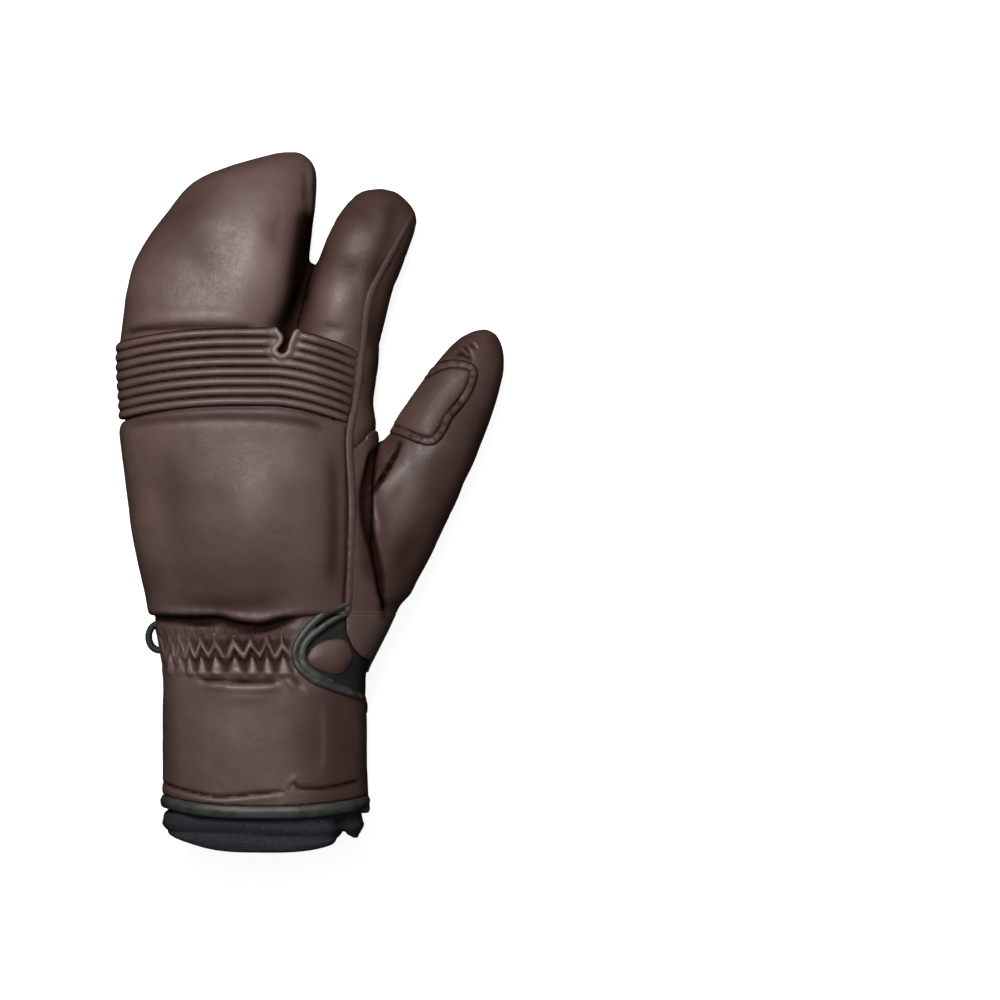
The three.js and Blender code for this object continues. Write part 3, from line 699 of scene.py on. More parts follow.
def noise(points, cell, seed=0):
    """Smooth noise from -1 to 1 over cells of a size in millimetres."""
    scaled = points / cell + 17.3 * seed + 100
    base = np.floor(scaled).astype(int)
    share = smooth_step(scaled - base, 0, 1)
    return blend_corners(share, lambda corner: noise_table[tuple(((base + corner) % NOISE_SIZE).T)])


def fold_relief(points, folds):
    total = np.zeros(len(points))
    for spots, width, height, *pucker in folds:
        path = photo_path(spots)
        low = path.min(axis=0) - 3 * width
        high = path.max(axis=0) + 3 * width
        near = np.all((points[:, :2] > low) & (points[:, :2] < high), axis=1)
        if not near.any():
            continue
        apart, along, length = nearest_on_path(*points[near, :2].T, path)
        taper = smooth_step(np.minimum(along, length - along), -0.5 * width, min(5 * width, length / 2))
        waves = 1 + sum(pucker) * np.sin(TURN * along / 5.5 + 2 * np.sin(along / 9))
        total[near] += height * bell(apart, width) * taper * waves
    return total


# Painted shade and highlight from the lines of shade and the broad patches.
def broad_painted_shade_and_highlight(x, y):
    total = np.zeros(len(x))
    for spots, wide, amount in PAINTED_SHADE_LINES:
        total += amount * bell(nearest_on_path(x, y, photo_path(spots))[0], wide)
    for u, v, wide, high, amount in PAINTED_SHADE_AND_HIGHLIGHT_PATCHES:
        middle = from_photo((u, v))
        total += amount * bell(x - middle[0], wide) * bell(y - middle[1], high)
    return total


def seam_nearness(x, y, z):
    """How near a panel's seam is, from 0 to 1, and the puckers beside it in millimetres."""
    near = np.zeros(len(x))
    puckers = np.zeros(len(x))
    past_wrist = smooth_step(y, GATHER_DEPTH - 1, GATHER_DEPTH + 3)
    for name, path in PANEL_SEAMS.items():
        apart, along, _ = nearest_on_path(x, y, path)
        here = past_wrist * ((z > SEAM_LEVEL) == (name == "thumb_back"))
        near = np.maximum(near, here * bell(apart, 1.1))
        waves = np.sin(TURN * along / 7.0 + 1.5 * np.sin(along / 6))
        puckers += here * 0.16 * waves * bell(apart, 3.2)
    return near, puckers


def leather_relief(points):
    """Height of folds, puckers and unevenness at points on the leather, and its painted shade: darker in
    creases, along seams and in broad painted patches, and paler as a painted highlight where it is below
    zero.
    """
    x, y, z = points.T
    back = smooth_step(z, 12, 22)
    folds = back * fold_relief(points, BACK_FOLDS) + (1 - back) * fold_relief(points, PALM_FOLDS)
    near, puckers = seam_nearness(x, y, z)
    loose = 0.55 * noise(points, 26, 1) + 0.22 * noise(points, 11, 2) + 0.07 * noise(points, 4.5, 3)
    drawn = np.stack([x + 0.5 * y, 0.35 * y, z], axis=1)
    lines = np.maximum(0, 1 - 4 * np.abs(noise(drawn, 9, 4))) ** 2
    loose -= (0.22 - 0.17 * back) * lines
    # Painted shade: the deeper a fold the darker its crease, seams are darkened, and a ridge is painted
    # paler as a highlight.
    painted_shade_and_highlight = np.clip(-0.7 * folds + 0.25 * folds * (folds > 0), -1, 1) + 0.8 * near
    return folds + puckers + loose, painted_shade_and_highlight + smooth_step(z, 3, 9) * broad_painted_shade_and_highlight(x, y)


def settle(points, heights):
    """Move points along the skin's direction, but nothing on the floor moves under it."""
    moved = points + np.maximum(heights, -DEEPEST)[:, None] * outward(points)
    on_floor = points[:, 2] < 0.6
    moved[:, 2] = np.maximum(moved[:, 2], np.where(on_floor, points[:, 2], 0))
    return moved


# Meshes


def shown(name, data):
    """A new object in the scene."""
    thing = bpy.data.objects.new(name, data)
    bpy.context.scene.collection.objects.link(thing)
    return thing


def new_piece(name, points, faces, painted_shades_and_highlights=None):
    """A smooth-shaded object from points in the design frame and faces."""
    mesh = bpy.data.meshes.new(name)
    vertices = (np.asarray(points, float) + SHIFT) * MM
    faces = np.asarray(faces, np.int32)
    mesh.vertices.add(len(vertices))
    mesh.vertices.foreach_set("co", vertices.astype(np.float32).ravel())
    mesh.loops.add(faces.size)
    mesh.loops.foreach_set("vertex_index", faces.ravel())
    mesh.polygons.add(len(faces))
    mesh.polygons.foreach_set("loop_start", np.arange(len(faces), dtype=np.int32) * faces.shape[1])
    mesh.update(calc_edges=True)
    mesh.validate()
    mesh.shade_smooth()
    # The painted shade and highlight go to the material as a point attribute.
    if painted_shades_and_highlights is not None:
        attribute = mesh.attributes.new("painted_shade_and_highlight", "FLOAT", "POINT")
        attribute.data.foreach_set("value", np.asarray(painted_shades_and_highlights, np.float32))
    return shown(name, mesh)


def carve(piece, cutters):
    """Cut other objects, which are left as they are, out of a piece."""
    for cutter in cutters:
        step = piece.modifiers.new("carve", "BOOLEAN")
        step.operation = "DIFFERENCE"
        step.solver = "MANIFOLD"
        step.object = cutter
    bpy.context.view_layer.update()
    depsgraph = bpy.context.evaluated_depsgraph_get()
    carved = bpy.data.meshes.new_from_object(piece.evaluated_get(depsgraph))
    piece.modifiers.clear()
    old = piece.data
    piece.data = carved
    bpy.data.meshes.remove(old)


def sharpen(piece, degrees=48):
    """Edges over an angle are drawn sharp."""
    bpy.ops.object.select_all(action="DESELECT")
    piece.select_set(True)
    bpy.context.view_layer.objects.active = piece
    bpy.ops.object.shade_smooth_by_angle(angle=math.radians(degrees))


def ride_as(piece, slot, *nodes):
    """Give a finished piece its body and hide the nodes that it stands for; the slot is not used."""
    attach(piece, "root")
    if nodes:
        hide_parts(*nodes)


def block(name, bottom, top):
    """A cutter for all that lies between two places along the mitt."""
    corners = np.array(list(itertools.product((-120, 140), (bottom, top), (-20, 90))), float)
    faces = [(0, 1, 3, 2), (4, 6, 7, 5), (0, 4, 5, 1), (2, 3, 7, 6), (0, 2, 6, 4), (1, 5, 7, 3)]
    return new_piece(name, corners, faces)


def cavity(name, depth, low, high, floor=None):
    """A coarse cutter that fills the hollow inside a wall of a depth, and brings its lining."""
    space = Volume(low, high, 2.4)
    field = space.resample(skin, SPACE) + depth
    if floor is not None:
        field = smooth_max(field, floor - space.z, 1.0)
    cutter = new_piece(name, *space.surface(field))
    cutter.data.materials.append(LINING)
    return cutter


# Fields of the pieces


def hand_zone(seam, corners):
    return np.vstack([seam, HAND.spot(corners)])


THUMB_CORNERS = [(1.20, -0.10), (1.20, 1.00), (0.90, 1.00)]
WELT_PATH = smooth_path(HAND.spot(SIDE_SEAM))
POCKET_ZONE = hand_zone(PANEL_SEAMS["pocket"], [(0.40, 1.10), (-0.70, 1.10)])
INDEX_ZONE = hand_zone(PANEL_SEAMS["index"], [(1.00, 0.345), (1.00, 1.10), (-0.20, 1.10), (-0.20, 0.75)])
THUMB_BACK_ZONE = hand_zone(PANEL_SEAMS["thumb_back"], THUMB_CORNERS)
THUMB_PALM_ZONE = hand_zone(PANEL_SEAMS["thumb_palm"], THUMB_CORNERS)
BACK_ZONE = hand_zone(WELT_PATH, [(0.323, -0.20), (-0.70, -0.20), (-0.70, 0.90)])
NOTCH_EDGE = photo_path(NOTCH_RIM)
NOTCH_ZONE = np.vstack([NOTCH_EDGE, from_photo(NOTCH_FAR_SIDE)])
INNER_ROLL = photo_path(NOTCH_INNER)
TONGUE_OUTLINE = photo_ring(NOTCH_TONGUE)
PATCH_OUTLINE = photo_ring(THUMB_PATCH, 5)
TAB_EDGE = smooth_path(np.array(TAB_PATH) * (STRAP_REACH, STRAP_HEIGHT) + (CUFF_WIDTH / 2, 0), 8)


def thumb_zone(space):
    return np.where(space.z > SEAM_LEVEL, space.inside(THUMB_BACK_ZONE), space.inside(THUMB_PALM_ZONE))


def index_zone(space):
    own_limb = INDEX.distance(space) - 0.8 - 7 * smooth_step(space.x, 26, 36)
    return np.maximum(own_limb, space.inside(INDEX_ZONE))


def notch_zone(space, grow=0.0):
    return np.maximum(space.inside(NOTCH_ZONE) - grow, NOTCH_LEVEL - space.z)


def body_field(space, skin_here):
    zones = thumb_zone(space), index_zone(space), space.inside(POCKET_ZONE)
    return trimmed(skin_here, *((-zone, EDGE) for zone in zones))


def pocket_field(space, skin_here):
    return trimmed(skin_here, (-index_zone(space), EDGE), (space.inside(POCKET_ZONE), EDGE))


def index_field(space, skin_here):
    return smooth_max(skin_here, index_zone(space), EDGE)


def thumb_field(space, skin_here):
    return smooth_max(skin_here, thumb_zone(space), EDGE)


def droop(x):
    """How far the ribs fall back towards the wrist, by their place across the palm."""
    across = x / PALM_WIDTH
    to_left = np.maximum(0, (-0.10 - across) / 0.47)
    to_right = np.maximum(0, (across - 0.03) / 0.30)
    return 5.6 * to_left**2.0 + 7.6 * to_right**1.7


def rib_wave(x, y):
    """Which rib a place in plan is on, counted from the fingers, and the rib's height from 0 to 1."""
    place = (RIB_TOP - (y + droop(x))) / RIB_PITCH
    return place, 1 - np.abs(2 * (place % 1) - 1) ** 2.2


GUSSET_LIP = photo_path([
    (278, 326), (279, 333), (283, 339), (282, 345), (277, 351), (279, 356), (285, 359),
    (291, 355), (293, 347), (296, 339), (300, 331), (302, 325),
])
GUSSET = photo_path([
    (274, 300), (279, 330), (284, 340), (278, 352), (284, 357), (292, 352), (297, 337), (305, 300),
])


def roll(space, skin_here, path, radius, lift):
    """A round roll on the skin that thins out towards both ends of its path."""
    apart, along, length = space.near(path)
    ends = smooth_step(np.minimum(along, length - along), -2.0, 7.0)
    return np.hypot(apart, (skin_here - lift) * 1.1) - radius * (0.55 + 0.45 * ends)


def rib_field(space, skin_here):
    wide = smooth_min(skin_here, RIB_LIMB.distance(space), 2.0)
    wide = wide + (skin_here - wide) * smooth_step(space.x, 22, 35)
    place, crest = rib_wave(space.x, space.y)
    notch = space.inside(GUSSET)
    calm = smooth_step(notch, 0.5, 6.0) * (0.4 + 0.6 * smooth_step(space.x, -58, -48))
    calm = calm * (1 - 0.5 * smooth_step(space.x, 31, 38))
    crest = 0.5 + calm * (crest - 0.5)
    lift = (RIB_BASE + RIB_HEIGHT * crest) * (1 - 0.7 * smooth_step(space.x, 31, 39))
    field = trimmed(
        wide - lift,
        (-(skin_here + 1.6), 0.4),
        (np.maximum(-place, place - RIB_COUNT) * RIB_PITCH, 1.4),
        (space.inside(BACK_ZONE) + 0.9, 1.6),
        (-notch, 1.0),
    )
    lips = smooth_max(roll(space, wide, GUSSET_LIP, 1.05, 1.6), space.y - 143.5, 2.5)
    return smooth_max(smooth_min(field, lips, 2.0), SEAM_LEVEL - space.z, 1.0)


def rib_relief(points):
    x, y, _ = points.T
    heights, painted_shade_and_highlight = leather_relief(points)
    place, crest = rib_wave(x, y)
    # Painted shade: the ribs' grooves, their top edge and their far right end are darkened; painted
    # highlight: the crests and the gusset's lips are paler.
    painted_highlight = bell(nearest_on_path(x, y, GUSSET_LIP)[0], 1.0) * smooth_step(y, 131, 134)
    painted_groove_shade = smooth_step(inside_outline(x, y, GUSSET), 0.5, 5.0) * smooth_step(1 - crest, 0.2, 0.85)
    far_right = smooth_step(x, 30, 38)
    painted_shade_and_highlight = 0.3 * painted_shade_and_highlight + 1.15 * painted_groove_shade * (1 - 0.5 * far_right) - 0.25 * crest**4 * (1 - far_right)
    painted_shade_and_highlight += 0.5 * (1 - smooth_step(place, 0.0, 0.35)) + 0.5 * far_right
    painted_shade_and_highlight = painted_shade_and_highlight * (1 - painted_highlight) - (0.95 + 0.5 * noise(points, 2.0, 21)) * painted_highlight
    return 0.3 * heights + 0.3 * noise(points, 2.6, 16) * painted_highlight, painted_shade_and_highlight


# Lower edge of the padded back: across the palm, along the mitt

LIP = [
    (-50, 23.7), (-30, 23.7), (-20, 24.0), (-14, 22.6), (-8, 21.2), (0, 20.8), (5, 22.6), (11, 23.6),
    (18, 24.4), (40, 25.5),
]


def pad_field(space, skin_here):
    side = space.inside(BACK_ZONE) + 0.9
    below = np.interp(space.x, *np.array(LIP).T) - space.y
    above = space.y - (RIB_TOP - (RIB_COUNT * RIB_PITCH + droop(space.x))) + 0.4
    low = SEAM_LEVEL - 8 * smooth_step(space.y, 66, 100) * (space.x < 0)
    border = np.maximum(np.maximum(side, 2.2 * above), low - space.z)
    puff = 1 - np.exp(np.minimum(border, 0) / 5.0)
    lift = 0.5 + (PAD_LIFT - 0.5) * puff * (0.8 + 0.2 * smooth_step(space.y, 30, 60))
    inner = -(skin_here + 0.7)
    limits = (inner, 0.5), (side, 1.6), (above, 1.2), (below, 2.4), (low - space.z, 1.6)
    return trimmed(skin_here - lift, *limits)


def welt_field(space, skin_here):
    apart = space.near(beside(WELT_PATH, 0.4))[0]
    return smooth_max(np.hypot(apart, skin_here + 1.35) - 2.2, 14 - space.z, 0.6)


def welt_relief(points):
    x, y, _ = points.T
    along = nearest_on_path(x, y, WELT_PATH)[1]
    from_seam = nearest_on_path(x, y, beside(WELT_PATH, -1.3))[0]
    from_crest = nearest_on_path(x, y, beside(WELT_PATH, 0.7))[0]
    heights = 0.05 * np.sin(TURN * along / 5.5 + 1.4 * np.sin(along / 6)) + 0.2 * noise(points, 9, 15)
    # Painted highlight along the welt's crest and painted shade in the seam beside it.
    painted_highlight = (0.15 + 0.3 * smooth_step(y, 60, 110)) * bell(from_crest, 0.9)
    return heights - 0.5 * (1 - smooth_step(along, 0, 9)), bell(from_seam, 0.8) - painted_highlight


HEM = 3.6       # the patch's row of stitches to its edge


def patch_field(space, skin_here):
    outline = space.inside(PATCH_OUTLINE)
    puff = 1.1 * (1 - np.exp(np.minimum(outline + HEM, 0) / 3.5))
    lift = (1.0 + puff - 0.5 * bell(outline + HEM, 0.45)) * (0.2 + 0.8 * smooth_step(space.z, 14, 23))
    return trimmed(skin_here - lift, (-(skin_here + 0.6), 0.4), (outline, 1.0), (14 - space.z, 0.8))


def patch_relief(points):
    x, y, _ = points.T
    heights, painted_shade_and_highlight = leather_relief(points)
    outline = inside_outline(x, y, PATCH_OUTLINE)
    along = nearest_on_path(x, y, PATCH_OUTLINE)[1]
    hem_share = bell(outline + HEM / 2, 1.6)
    puckers = 0.14 * np.sin(TURN * along / 4.6 + 1.3 * np.sin(along / 5)) * hem_share
    # Painted shade along the stitch row, round the rim and in the puckers' hollows, and paler spots of
    # painted highlight on the hem.
    row = bell(outline + HEM, 0.5) * (0.8 + 0.7 * noise(points, 4.5, 24))
    rim = bell(outline, 0.9) * (0.9 + 0.5 * noise(points, 6, 22))
    painted_highlight = 0.35 * np.clip(noise(points, 4.0, 23), 0, 1) * hem_share
    painted_shade_and_highlight = painted_shade_and_highlight + row + rim + 1.5 * np.clip(-puckers, 0, 1) - painted_highlight + 0.2 * hem_share
    return heights + puckers, painted_shade_and_highlight


# Gathers: a zigzag of stitched elastic draws the leather in, with pleats below it.
# Where each pleat of the back stands across the wrist, in millimetres from the little finger's side

PLEATS = [
    -44.5, -39.6, -35.0, -30.1, -24.6, -19.0, -11.9, -4.8, 2.5, 9.6, 16.5, 23.5, 30.5, 37.5, 44.5,
]
PALM_PLEAT = 4.6        # between the palm's pleats
ZIGZAG_TOP = 13.8       # above the strap
ZIGZAG_DROP = 6.8


def wrist_phase(x, y, z):
    """Which pleat a place on the wrist is at."""
    back = np.interp(x, PLEATS, np.arange(len(PLEATS))) + 0.12 * np.sin(x / 5.0) + (y - 8) * 0.012
    palm = x / PALM_PLEAT + 0.35 * np.sin(x / 7.0)
    return np.where(z > 30, back, np.where(np.abs(x - 1.0) > 42, z / 5.0, palm))


def between(value, low_start, low_end, high_start, high_end):
    """A share that rises from 0 to 1 and falls back to 0."""
    return smooth_step(value, low_start, low_end) * (1 - smooth_step(value, high_start, high_end))


def pleat_relief(points):
    """Height of the gathers at points of the wrist, with the painted shade in their grooves and the
    painted highlight on their pleats and ridges.
    """
    x, depth, z = points.T
    phase = wrist_phase(x, depth, z)
    wave = np.cos(TURN * phase)
    share = phase % 1
    uneven = 0.82 + 0.6 * noise(points, 5.5, 17)
    swing = ZIGZAG_DROP * (1 - np.abs(2 * share - 1))
    zigzag = (depth - ZIGZAG_TOP + swing + 1.8 * noise(points, 4.6, 18)) * 0.5
    ridge = 1.3 * uneven * np.exp(-((zigzag / 1.2) ** 4))
    groove = -1.3 * bell(zigzag + 1.85, 0.6) - 1.2 * bell(zigzag - 1.85, 0.65)
    groove *= smooth_step(depth, 4.5, 7.5) * uneven
    from_pleat = np.abs(share - np.round(share)) * 7.0
    reach = 3.1 * np.clip(1 - (depth - 0.5) / 9.0, 0.02, 1)
    shape = np.clip(1.2 - from_pleat / reach, 0, 1) * between(depth, -1.6, 0.8, 6.5, 8.8)
    pleats = 1.7 * uneven * shape * (2 - shape)
    folds = 0.8 * uneven * wave * between(depth, 12, 15, 16, 22)
    band = between(depth, 1.0, 3.5, 15, 19)
    near_notch = inside_outline(x, depth, NOTCH_ZONE)
    calm = smooth_step(near_notch, 0.8, 4) * (1 - smooth_step(x, 27, 34))
    calm *= (0.45 + 0.55 * smooth_step(x, -38, -24)) * smooth_step(z, 27, 35)
    palm_height = (0.5 * wave - 0.3) * between(depth, 1, 4, 14, 22) - 0.5 * band
    palm_height *= (1 - smooth_step(z, 27, 35)) * (1 - smooth_step(x, 30, 38))
    plain, painted_shade_and_highlight = leather_relief(points)
    ease = smooth_step(depth, 15, 22) + (1 - smooth_step(depth, -3, 0))
    heights = calm * (ridge + groove + pleats + folds - 0.7 * band) + palm_height
    # Painted shade between the pleats and in the zigzag's grooves, painted highlight on the pleats and on
    # the zigzag's ridge.
    low = between(depth, -0.5, 2.0, 6.0, 8.0) * (0.9 - 1.7 * shape)
    low += between(depth, 5.0, 8.0, 13.5, 16.5) * (0.7 - 0.8 * ridge)
    return heights + (0.25 + 0.75 * ease) * plain, painted_shade_and_highlight + calm * np.clip(low, -0.8, 1.2)


def gathers_field(space, skin_here):
    tucked = 0.6 * smooth_step(space.y, GATHER_DEPTH - 0.6, GATHER_DEPTH + 0.6)
    return smooth_max(skin_here + tucked, -notch_zone(space, 0.15), 1.0)


def strap_foot(x):
    """How far the strap reaches down on the back, less at both sides."""
    return STRAP_HEIGHT + 0.6 - 3.2 * np.clip(np.abs(x - 1) / 42, 0, 1) ** 2.6


def strap_border(space):
    """How far inside the bound edge of the strap a place is; the top edge isn't bound."""
    return np.where(space.z > STRAP_LEVEL, -strap_foot(space.x) - space.y, space.inside(TAB_EDGE))


def strap_zone(space):
    """Inside the strap's outline: the back of the cuff and the tab on the palm."""
    border = strap_border(space)
    return np.where(space.z > STRAP_LEVEL, np.maximum(border, STRAP_LEVEL - space.z), border)


def strap_field(space, skin_here):
    inner = strap_border(space) + EDGING_WIDTH
    return trimmed(skin_here, (strap_zone(space), 1.0), (inner, 0.7), (-notch_zone(space, 0.15), 1.0))


def edging_field(space, skin_here):
    border = strap_border(space)
    middle = np.abs(border + 0.42 * EDGING_WIDTH) / (0.62 * EDGING_WIDTH)
    puff = 1.1 * np.sqrt(1 - np.minimum(middle, 1) ** 2) - 0.35
    puff = puff * (1 - smooth_step(space.x, 34, 41) * (space.y > -45))
    field = trimmed(skin_here - puff, (strap_zone(space), 1.2), (-(border + EDGING_WIDTH), 0.6))
    return trimmed(field, (-space.z, 0.4), (-notch_zone(space, 0.15), 0.8))


def edging_relief(points):
    x, y, z = points.T
    loose = 0.3 * noise(points, 16, 11) + 0.16 * noise(points, 6, 12)
    return (loose + 0.3 * bell(y + strap_foot(x) - 3.0, 0.8)) * (z > 20), np.zeros(len(points))


def hem(x):
    side = np.clip(np.abs(x) / (CUFF_WIDTH / 2), 0, 1)
    return -CUFF_DEPTH + HEM_RISE * side**3.2 + 3.4 * bell(x - 33.5, 2.4) - 2.6 * bell(x - 38.0, 2.2)


def sleeve_field(space, skin_here):
    return trimmed(
        skin_here + COVER + 0.3,
        (SLEEVE_FLOOR - space.z, 1.5),
        (hem(space.x) - space.y, 2.0),
        (space.y - SLEEVE_TUCK, 1.0),
    )


# Bands round the sleeve that show below the strap:
# depth, how far they wander, the wander's length and phase, height, half width

SLEEVE_BANDS = [
    (63.2, 1.2, 14, 0, 0.7, 1.5),
    (66.4, 1.0, 17, 0, -0.8, 0.9),
    (69.5, 0.8, 12, 1, 0.5, 1.6),
]


def sleeve_relief(points):
    x, depth, z = points.T
    shown_share = smooth_step(-depth, 55, 61)
    back = smooth_step(z, 18, 26)
    bands = sum(
        height * bell(depth + low + wander * np.sin(x / length + phase), half)
        for low, wander, length, phase, height, half in SLEEVE_BANDS
    )
    flare = 2.4 * smooth_step(-depth, 56.5, 59.5) * smooth_step(-x, 26, 38)
    ripple = 0.4 * np.sin(x / 9 + 1.5 * np.sin(depth / 8)) * shown_share
    tuck = -2.2 * bell(x - 32.5, 3.2) * smooth_step(-depth, 56, 62) * back
    ear = 1.2 * bell(x - 38.5, 3.0) * bell(depth + 64, 4.5)
    loose = 0.35 * noise(points, 18, 5) + 0.15 * noise(points, 7, 6)
    palm = (z < 12) * 0.4 * noise(points, 24, 8)
    # Painted shade in the hollows of the sleeve's bands and in its tuck.
    painted_shade_and_highlight = 0.6 * np.clip(-bands, 0, 1) * shown_share - 0.3 * tuck
    return flare + ripple + bands * shown_share * back + ear + tuck + loose + palm, painted_shade_and_highlight


def panel_field(space, skin_here):
    limits = (-(skin_here + COVER), 0.3), (notch_zone(space) - 0.1, 0.5)
    return trimmed(skin_here + 1.1, *limits, (NOTCH_LEVEL + 0.3 - space.z, 0.5))


def tongue_field(space, skin_here):
    outline = space.inside(TONGUE_OUTLINE)
    puff = 2.3 * (1 - np.exp(np.minimum(outline, 0) / 3.0))
    return trimmed(skin_here + 1.2 - puff, (-(skin_here + 1.3), 0.4), (outline, 0.9))


def binding_field(space, skin_here):
    outer = roll(space, skin_here, NOTCH_EDGE, 1.75, 0.1)
    inner = roll(space, skin_here, INNER_ROLL, 1.45, -0.1)
    limits = (-(skin_here + 1.6), 0.4), (NOTCH_LEVEL - space.z, 0.6)
    return trimmed(smooth_min(outer, inner, 0.9), *limits)


def binding_relief(points):
    loose = 0.28 * noise(points, 5.0, 13) + 0.16 * noise(points, 2.2, 14)
    # Painted shade in the hollows of the binding's unevenness.
    return loose, np.clip(-loose, 0, 1)


TAB_END = CUFF_WIDTH / 2 - STRAP_REACH
HOOK_LOW = np.array([TAB_END - 18, -0.70 * STRAP_HEIGHT - 14.5, COVER + 0.3])
HOOK_HIGH = HOOK_LOW + (26, 29, 1.0)


def hook_field(space, skin_here):
    middle = (HOOK_LOW + HOOK_HIGH) / 2
    half = (HOOK_HIGH - HOOK_LOW) / 2 - 0.15
    aside, along, above = (
        np.abs(place - middle[i]) - half[i] for i, place in enumerate((space.x, space.y, space.z))
    )
    return smooth_max(smooth_max(aside, along, 3.0), above, 0.3) - 0.15


# The webbing loop and the stitches

LOOP_REACH = (4.65, 5.65)
LOOP_HALF_THICKNESS = 1.35
LOOP_HALF_WIDTH = 4.0


def signed_power(values, power):
    return np.sign(values) * np.abs(values) ** power


def swept_loop(turns=72, sides=20):
    """The webbing loop: a flat strip round an oval that stands out of the wrist."""
    centre = (-CUFF_WIDTH / 2 - 1.0, 0.6 * GATHER_DEPTH)
    turn = TURN * np.arange(turns)[:, None] / turns
    angle = TURN * np.arange(sides) / sides
    circle = np.stack([np.cos(turn), np.sin(turn)], axis=-1)
    rise = signed_power(np.sin(angle), 0.35)
    across = LOOP_HALF_THICKNESS * signed_power(np.cos(angle), 0.6) * (1 - 0.25 * (np.abs(rise) > 0.8))
    plan = centre + LOOP_REACH * circle + unit(circle / LOOP_REACH) * across[:, None]
    levels = np.broadcast_to(CUFF_THICKNESS / 2 + LOOP_HALF_WIDTH * rise, (turns, sides))
    grid = np.arange(turns * sides).reshape(turns, sides)
    ahead = np.roll(grid, -1, axis=0)
    faces = np.stack([grid, ahead, np.roll(ahead, -1, axis=1), np.roll(grid, -1, axis=1)], axis=-1)
    points = np.concatenate([plan, levels[:, :, None]], axis=2)
    return new_piece("webbing_loop", points.reshape(-1, 3), faces.reshape(-1, 4))


def capsule_faces(rings, sides):
    """Quads of a closed tube with six sides: its wall, then both ends."""
    faces = []
    for ring in range(0, (rings - 1) * sides, sides):
        for j in range(sides):
            a, b = ring + j, ring + (j + 1) % sides
            faces.append((a + sides, b + sides, b, a))
    last = (rings - 1) * sides
    for rim in (list(range(sides)), list(range(last, last + sides))[::-1]):
        faces += [(rim[0], rim[1], rim[2], rim[3]), (rim[0], rim[3], rim[4], rim[5])]
    return np.array(faces)


def stitch_row(path, lift=0.1, pitch=3.0, length=2.1, radius=0.3, palm=False, rings=7, sides=6):
    """Points and faces of a row of stitches along a path in plan."""
    measure = measured(path)
    count = int(measure[-1] // pitch)
    middles = (np.arange(count) + 0.5) * measure[-1] / count
    ends = []
    for shift in (-length / 2, 0, length / 2):
        x, y = (np.interp(middles + shift, measure, values) for values in path.T)
        spots = under_palm(x, y, lift) if palm else on_back(x, y, lift)
        ends.append(settle(spots, leather_relief(spots)[0]))
    tail, middle, head = ends
    ahead = unit(head - tail)
    side = unit(np.cross(ahead, outward(middle)))
    up = np.cross(side, ahead)
    share = np.linspace(0, 1, rings)[:, None]
    swell = radius * np.sin(math.pi * (0.06 + 0.88 * share)) ** 0.5
    angle = TURN * np.arange(sides) / sides
    forward = (share - 0.5) * length * np.ones(sides)
    rise = -1.1 * radius * (2 * share - 1) ** 4 + swell * np.sin(angle)
    points = np.broadcast_to(middle[:, None, None], (count, rings, sides, 3))
    for amounts, way in ((forward, ahead), (swell * np.cos(angle), side), (rise, up)):
        points = points + amounts[None, :, :, None] * way[:, None, None]
    faces = capsule_faces(rings, sides) + rings * sides * np.arange(count)[:, None, None]
    return points.reshape(-1, 3), faces.reshape(-1, 4)


def stitched(name, rows):
    """One object for several rows of stitches."""
    points = np.empty((0, 3))
    faces = np.empty((0, 4), int)
    for row in rows:
        row_points, row_faces = stitch_row(**row)
        faces = np.vstack([faces, row_faces + len(points)])
        points = np.vstack([points, row_points])
    return new_piece(name, points, faces)


# Materials


